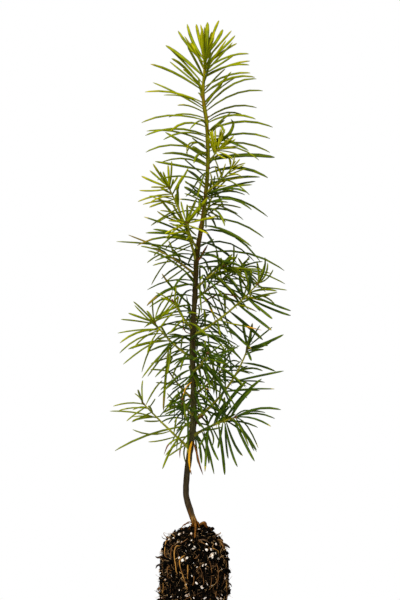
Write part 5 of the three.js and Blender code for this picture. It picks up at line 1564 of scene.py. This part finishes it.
def peat_crest(angle, z):
    """Height of the peat's own surface under a root, averaged over nine places along it, so that
    the root lies on the crumbs and bridges the pits."""
    crest = np.maximum(crumbly(on_plug(angle, z)), -0.9)
    padded = np.concatenate([crest[..., :1]] * 4 + [crest] + [crest[..., -1:]] * 4, axis=-1)
    return sum(padded[..., k:k + crest.shape[-1]] for k in range(9)) / 9


def plug_roots(finishes):
    """Roots that ran down the cell's wall. Those of FRONT_ROOTS are curves through their points.
    Others start high and wander down the rest of the plug by slow sines. Both kinds rise out of the
    peat at one end and dip back into it at the other. Fine side roots run between them, and weave in
    and out of the peat by sines of their own."""
    skin = Skin()
    s = np.linspace(0, 1, 40)
    ends = ramp(s, 0.0, 0.1) * (1 - ramp(s, 0.9, 1.0))
    for knots, girth, tone in FRONT_ROOTS:
        bearing, high = on_front(*np.array(knots).T)
        angle, z = through(np.stack([bearing, high], axis=-1), 40).T
        path = on_plug(angle, z, mix(-2.0, peat_crest(angle, z) + 0.75, ends))
        skin.rings(rings_along(path, girth * 0.42 * mix(1.0, 0.65, s), 8), tone)
    count, steps = WALL_ROOTS, 80
    i = np.arange(count)[:, None]
    s = np.linspace(0, 1, steps)[None]
    top = mix(84, 116, chance(i, 61))
    z = np.maximum(mix(top, top - mix(*WALL_ROOT_LENGTH, chance(i, 62) ** 1.6), s), 2.0)
    wander = 0.06 * np.sin(s * mix(4, 9, chance(i, 63)) + i)
    wander = wander + 0.2 * (chance(i, 64) - 0.5) * np.sin(s * 3 + i * 2)
    angle = i * 2 * np.pi / count + (chance(i, 65) - 0.5) * 0.25 + wander
    girth = mix(*WALL_ROOT_GIRTH, chance(i, 66)) * mix(1.0, 0.55, s)
    rise = peat_crest(angle, z) + 0.45 + 0.35 * np.sin(s * mix(5, 12, chance(i, 67)) + i * 1.7)
    ends = ramp(s, 0.0, 0.06) * (1 - ramp(s, 0.94, 1.0))
    kept = ~in_view(angle, z).any(axis=1)
    path = on_plug(angle, z, mix(-2.0, rise, ends))[kept]
    tone = (chance(np.arange(count), 68)[kept] * 3).astype(int)
    skin.rings(rings_along(path, girth[kept] / 2, 8), tone[:, None, None])
    count, steps = SIDE_ROOTS, 16
    i = np.arange(count)[:, None]
    s = np.linspace(0, 1, steps)[None]
    start, high, _ = scattered(count, 71, 6, 114)
    lean = (chance(i, 72) - 0.5) * 1.4
    reach = mix(*SIDE_ROOT_LENGTH, chance(i, 73))
    z = np.clip(high[:, None] - reach * s * np.cos(lean), 2.0, 117.5)
    angle = start[:, None] + reach * s * np.sin(lean) / 19 + 0.06 * np.sin(s * 9 + i)
    path = on_plug(angle, z, peat_crest(angle, z) + 0.2 + 0.5 * np.sin(s * mix(4, 9, chance(i, 74)) + i))
    girth = mix(*SIDE_ROOT_GIRTH, chance(i, 75)) * mix(1.0, 0.5, s)
    tone = (chance(np.arange(count), 76) * 2).astype(int) + 1
    skin.rings(rings_along(path, girth / 2, 5), tone[:, None, None])
    return skin.piece("plug_roots", finishes, ["root_ball"])


# Scraps and hairs that stand out of the root ball's outline: path knots, girth and tone
EDGE_SCRAPS = [
    ([(15.2, -1.0, 109.8), (17.0, -1.2, 109.4), (18.6, -1.4, 108.6), (19.8, -1.6, 107.6)], 1.7, 0),
    ([(12.8, -3.0, 112.4), (15.0, -3.2, 112.0), (16.4, -3.4, 110.2)], 1.1, 2),
    ([(13.8, -4.0, 110.6), (15.8, -4.2, 110.0), (17.0, -4.4, 107.8)], 1.0, 1),
    ([(10.6, -4.0, 113.2), (12.0, -4.4, 114.8), (14.6, -4.6, 116.4)], 1.0, 1),
    ([(13.8, -4.6, 115.6), (14.6, -4.6, 116.4), (14.4, -4.6, 117.0)], 0.5, 2),
    ([(-16.8, -1.8, 103.4), (-19.8, -2.2, 102.4), (-21.4, -2.0, 102.9)], 1.2, 0),
    ([(-17.2, -1.0, 98.8), (-20.2, -1.4, 97.8), (-21.2, -1.2, 96.2)], 1.1, 0),
    ([(-12.6, -3.8, 112.4), (-14.6, -4.1, 113.8), (-16.4, -4.2, 115.2), (-16.6, -4.4, 116.6),
      (-15.2, -4.4, 116.0)], 0.4, 2),
    ([(-12.8, -2.0, 112.8), (-15.4, -2.2, 112.6), (-17.4, -2.4, 113.4), (-17.8, -2.4, 114.6)], 0.45, 1),
    ([(-10.2, -5.6, 114.4), (-12.4, -6.0, 116.2), (-14.2, -6.2, 116.6)], 0.4, 2),
    ([(2.4, -12.2, 113.4), (5.6, -13.0, 113.8), (8.8, -12.6, 112.0)], 0.8, 1),
    ([(17.8, -2.0, 88.4), (20.0, -2.4, 87.6), (20.8, -2.2, 86.0)], 0.9, 0),
    ([(-18.0, -2.6, 86.0), (-20.0, -3.0, 85.2), (-20.6, -2.6, 83.6)], 0.9, 1),
]


def peat_fibres(finishes):
    """Moss and root fibres in the peat: curved hairs that set out between the peat's skin and its
    normal and bend by a random pull, most of them short and thin, and EDGE_SCRAPS."""
    skin = Skin()
    angle, z, i = scattered(FIBRES, 81, 2.5, 118.8)
    s = np.linspace(0, 1, 6)[None, :, None]
    base = on_plug(angle, z)
    normal = outward(angle, z)
    base = base + normal * (crumbly(base) + mix(-0.1, 0.5, chance(i, 82)))[:, None]
    random = np.stack([chance(i, k) for k in (83, 84, 85)], -1) - 0.5
    random = random - dot(random, normal) * normal
    heading = unit(normal * mix(0.02, 0.8, chance(i, 86) ** 2)[:, None] + random * 1.8)
    curl = (np.stack([chance(i, k) for k in (87, 88, 89)], -1) - 0.5) * 1.6 - normal * 0.35
    length = mix(*FIBRE_LENGTH, chance(i, 90) ** 2.4)[:, None, None]
    path = base[:, None] + length * (heading[:, None] * s + curl[:, None] * s * s / 2)
    path[..., 2] = np.maximum(path[..., 2], 0.3)
    girth = mix(*FIBRE_GIRTH, chance(i, 91) ** 1.6)[:, None] * mix(1.0, 0.4, s[..., 0])
    skin.rings(rings_along(path, girth / 2, 3), (chance(i, 92)[:, None, None] * 4).astype(int))
    for knots, girth, tone in EDGE_SCRAPS:
        s = np.linspace(0, 1, 12)
        path = through(np.array(knots, float), 12)
        skin.rings(rings_along(path, girth / 2 * mix(1.1, 0.3, s**2), 6), tone)
    return skin.piece("peat_fibres", finishes, ["root_ball"])


# Studio

FLOOR_RADIUS = 0.42
FLOOR_CORNERS = 192
WARM_WHITE = "#fff8ec"
# Lamps: name, kind, energy, place in metres, and how broad each is, in radians or in metres
LAMPS = [
    ("key", "SUN", 4.1, (-0.5, -0.9, 1.8), 0.6),
    ("fill", "AREA", 4.0, (1.3, -1.2, 0.7), 0.9),
]


def floor_finish():
    """Matt white studio board, painted and rolled: even, with a faint orange-peel of 2 mm."""
    material, tree, place = finish("studio_board")
    peel = add(tree, "ShaderNodeTexNoise", {"Scale": 1 / (2 * MM)}, {"Vector": place})
    relief = add(tree, "ShaderNodeBump", {"Strength": 0.05, "Distance": 0.1 * MM},
                 {"Height": peel.outputs["Fac"]})
    shader = add(tree, "ShaderNodeBsdfPrincipled", {"Base Color": linear("#dcdee4"), "Roughness": 0.9},
                 {"Normal": relief.outputs["Normal"]})
    surfaced(tree, shader)
    return material


def studio():
    """A round floor, one soft sun from the upper left, a fill from the right, and a white
    surround."""
    angle = np.arange(FLOOR_CORNERS) * 2 * np.pi / FLOOR_CORNERS
    rim = np.stack([np.cos(angle), np.sin(angle), np.zeros(FLOOR_CORNERS)], -1) * FLOOR_RADIUS
    mesh = bpy.data.meshes.new("studio_floor")
    mesh.from_pydata(rim.tolist(), [], [list(range(FLOOR_CORNERS))])
    mesh.materials.append(floor_finish())
    floor = bpy.data.objects.new("studio_floor", mesh)
    bpy.context.scene.collection.objects.link(floor)
    for name, kind, energy, place, size in LAMPS:
        data = bpy.data.lights.new(name, kind)
        data.energy = energy
        data.color = linear(WARM_WHITE)[:3]
        if kind == "SUN":
            data.angle = size
        else:
            data.size = size
        lamp = bpy.data.objects.new(name, data)
        lamp.location = place
        aim_at(lamp, AIM * MM)
        bpy.context.scene.collection.objects.link(lamp)
    world = bpy.data.worlds.new("white_surround")
    world.use_nodes = True
    tree = world.node_tree
    tree.nodes.clear()
    ray = add(tree, "ShaderNodeLightPath")
    glow = add(tree, "ShaderNodeBackground", {"Color": linear(WARM_WHITE), "Strength": 0.27})
    seen = add(tree, "ShaderNodeBackground", {"Color": (1, 1, 1, 1), "Strength": 1.0})
    both = add(tree, "ShaderNodeMixShader",
               links={0: ray.outputs["Is Camera Ray"], 1: glow.outputs[0], 2: seen.outputs[0]})
    add(tree, "ShaderNodeOutputWorld", links={"Surface": both.outputs[0]})
    bpy.context.scene.world = world


def aim_at(thing, target):
    """Turns a lamp or the camera so that it looks at the target."""
    direction = Vector(target) - thing.location
    thing.rotation_euler = direction.to_track_quat("-Z", "Y").to_euler()


def camera():
    """The photo's view. The picture is upright, so the sensor's width lies along its height: the lens
    is half the sensor, over half the picture, times the distance."""
    data = bpy.data.cameras.new("camera")
    data.lens = data.sensor_width / 2 / (PICTURE_HEIGHT / 2 / CAMERA_DISTANCE)
    data.clip_start, data.clip_end = 0.05, 20
    made = bpy.data.objects.new("camera", data)
    made.location = CAMERA * MM
    aim_at(made, AIM * MM)
    bpy.context.scene.collection.objects.link(made)
    bpy.context.scene.camera = made


# The seedling

camera()
studio()
bpy.context.scene.view_settings.view_transform = "Standard"

needle_set = needle_finishes()
peat_set = [peat_finish("peat_black", "#18110a", "#050403", "#010101"),
            peat_finish("peat_brown", "#574028", "#291c11", "#0b0806"),
            peat_finish("peat_straw", "#a4855a", "#6a4d2e", "#281b10")]
fibre_set = [root_finish("fibre_dark", "#342211", "#120a05"),
             root_finish("fibre_brown", "#70543a", "#2e2014"),
             root_finish("fibre_tan", "#a88250", "#644628"),
             root_finish("fibre_straw", "#c6a676", "#866440")]
root_set = [root_finish("root_tan", "#b8873e", "#6c471e"),
            root_finish("root_brown", "#84592a", "#3f2710"),
            root_finish("root_cream", "#d0ab70", "#946a38")]

peat_plug(peat_set)
peat_crumbs(peat_set)
peat_fibres(fibre_set)
plug_roots(root_set)
perlite_grains(perlite_finish())
bark_tones = [(0.0, "#ac7628"), (0.014, "#a87c38"), (0.028, "#9c8048"), (0.034, "#5e5440"),
              (0.12, "#4a4630"), (0.22, "#61643e"), (0.36, "#6a683c"), (0.52, "#5a5026"), (0.64, "#7c6c1e"),
              (0.78, "#ac7e18"), (0.85, "#a47c14"), (0.9, "#bc9014"), (1.0, "#b4b00a")]
green_tones = [(0.0, "#5c6a34"), (0.4, "#5f7026"), (0.6, "#7c8a18"), (0.78, "#8e9410"), (1.0, "#b0b404")]
stem_bark([bark_finish("seedling_bark", bark_tones, 0.9, 0.35),
           bark_finish("green_wood", green_tones, 0.5, 0.2)])
side_shoots()
resting_buds()
side_needles(needle_set)
leader_needles(needle_set)
rosette(needle_set)
spent_needles(needle_set)
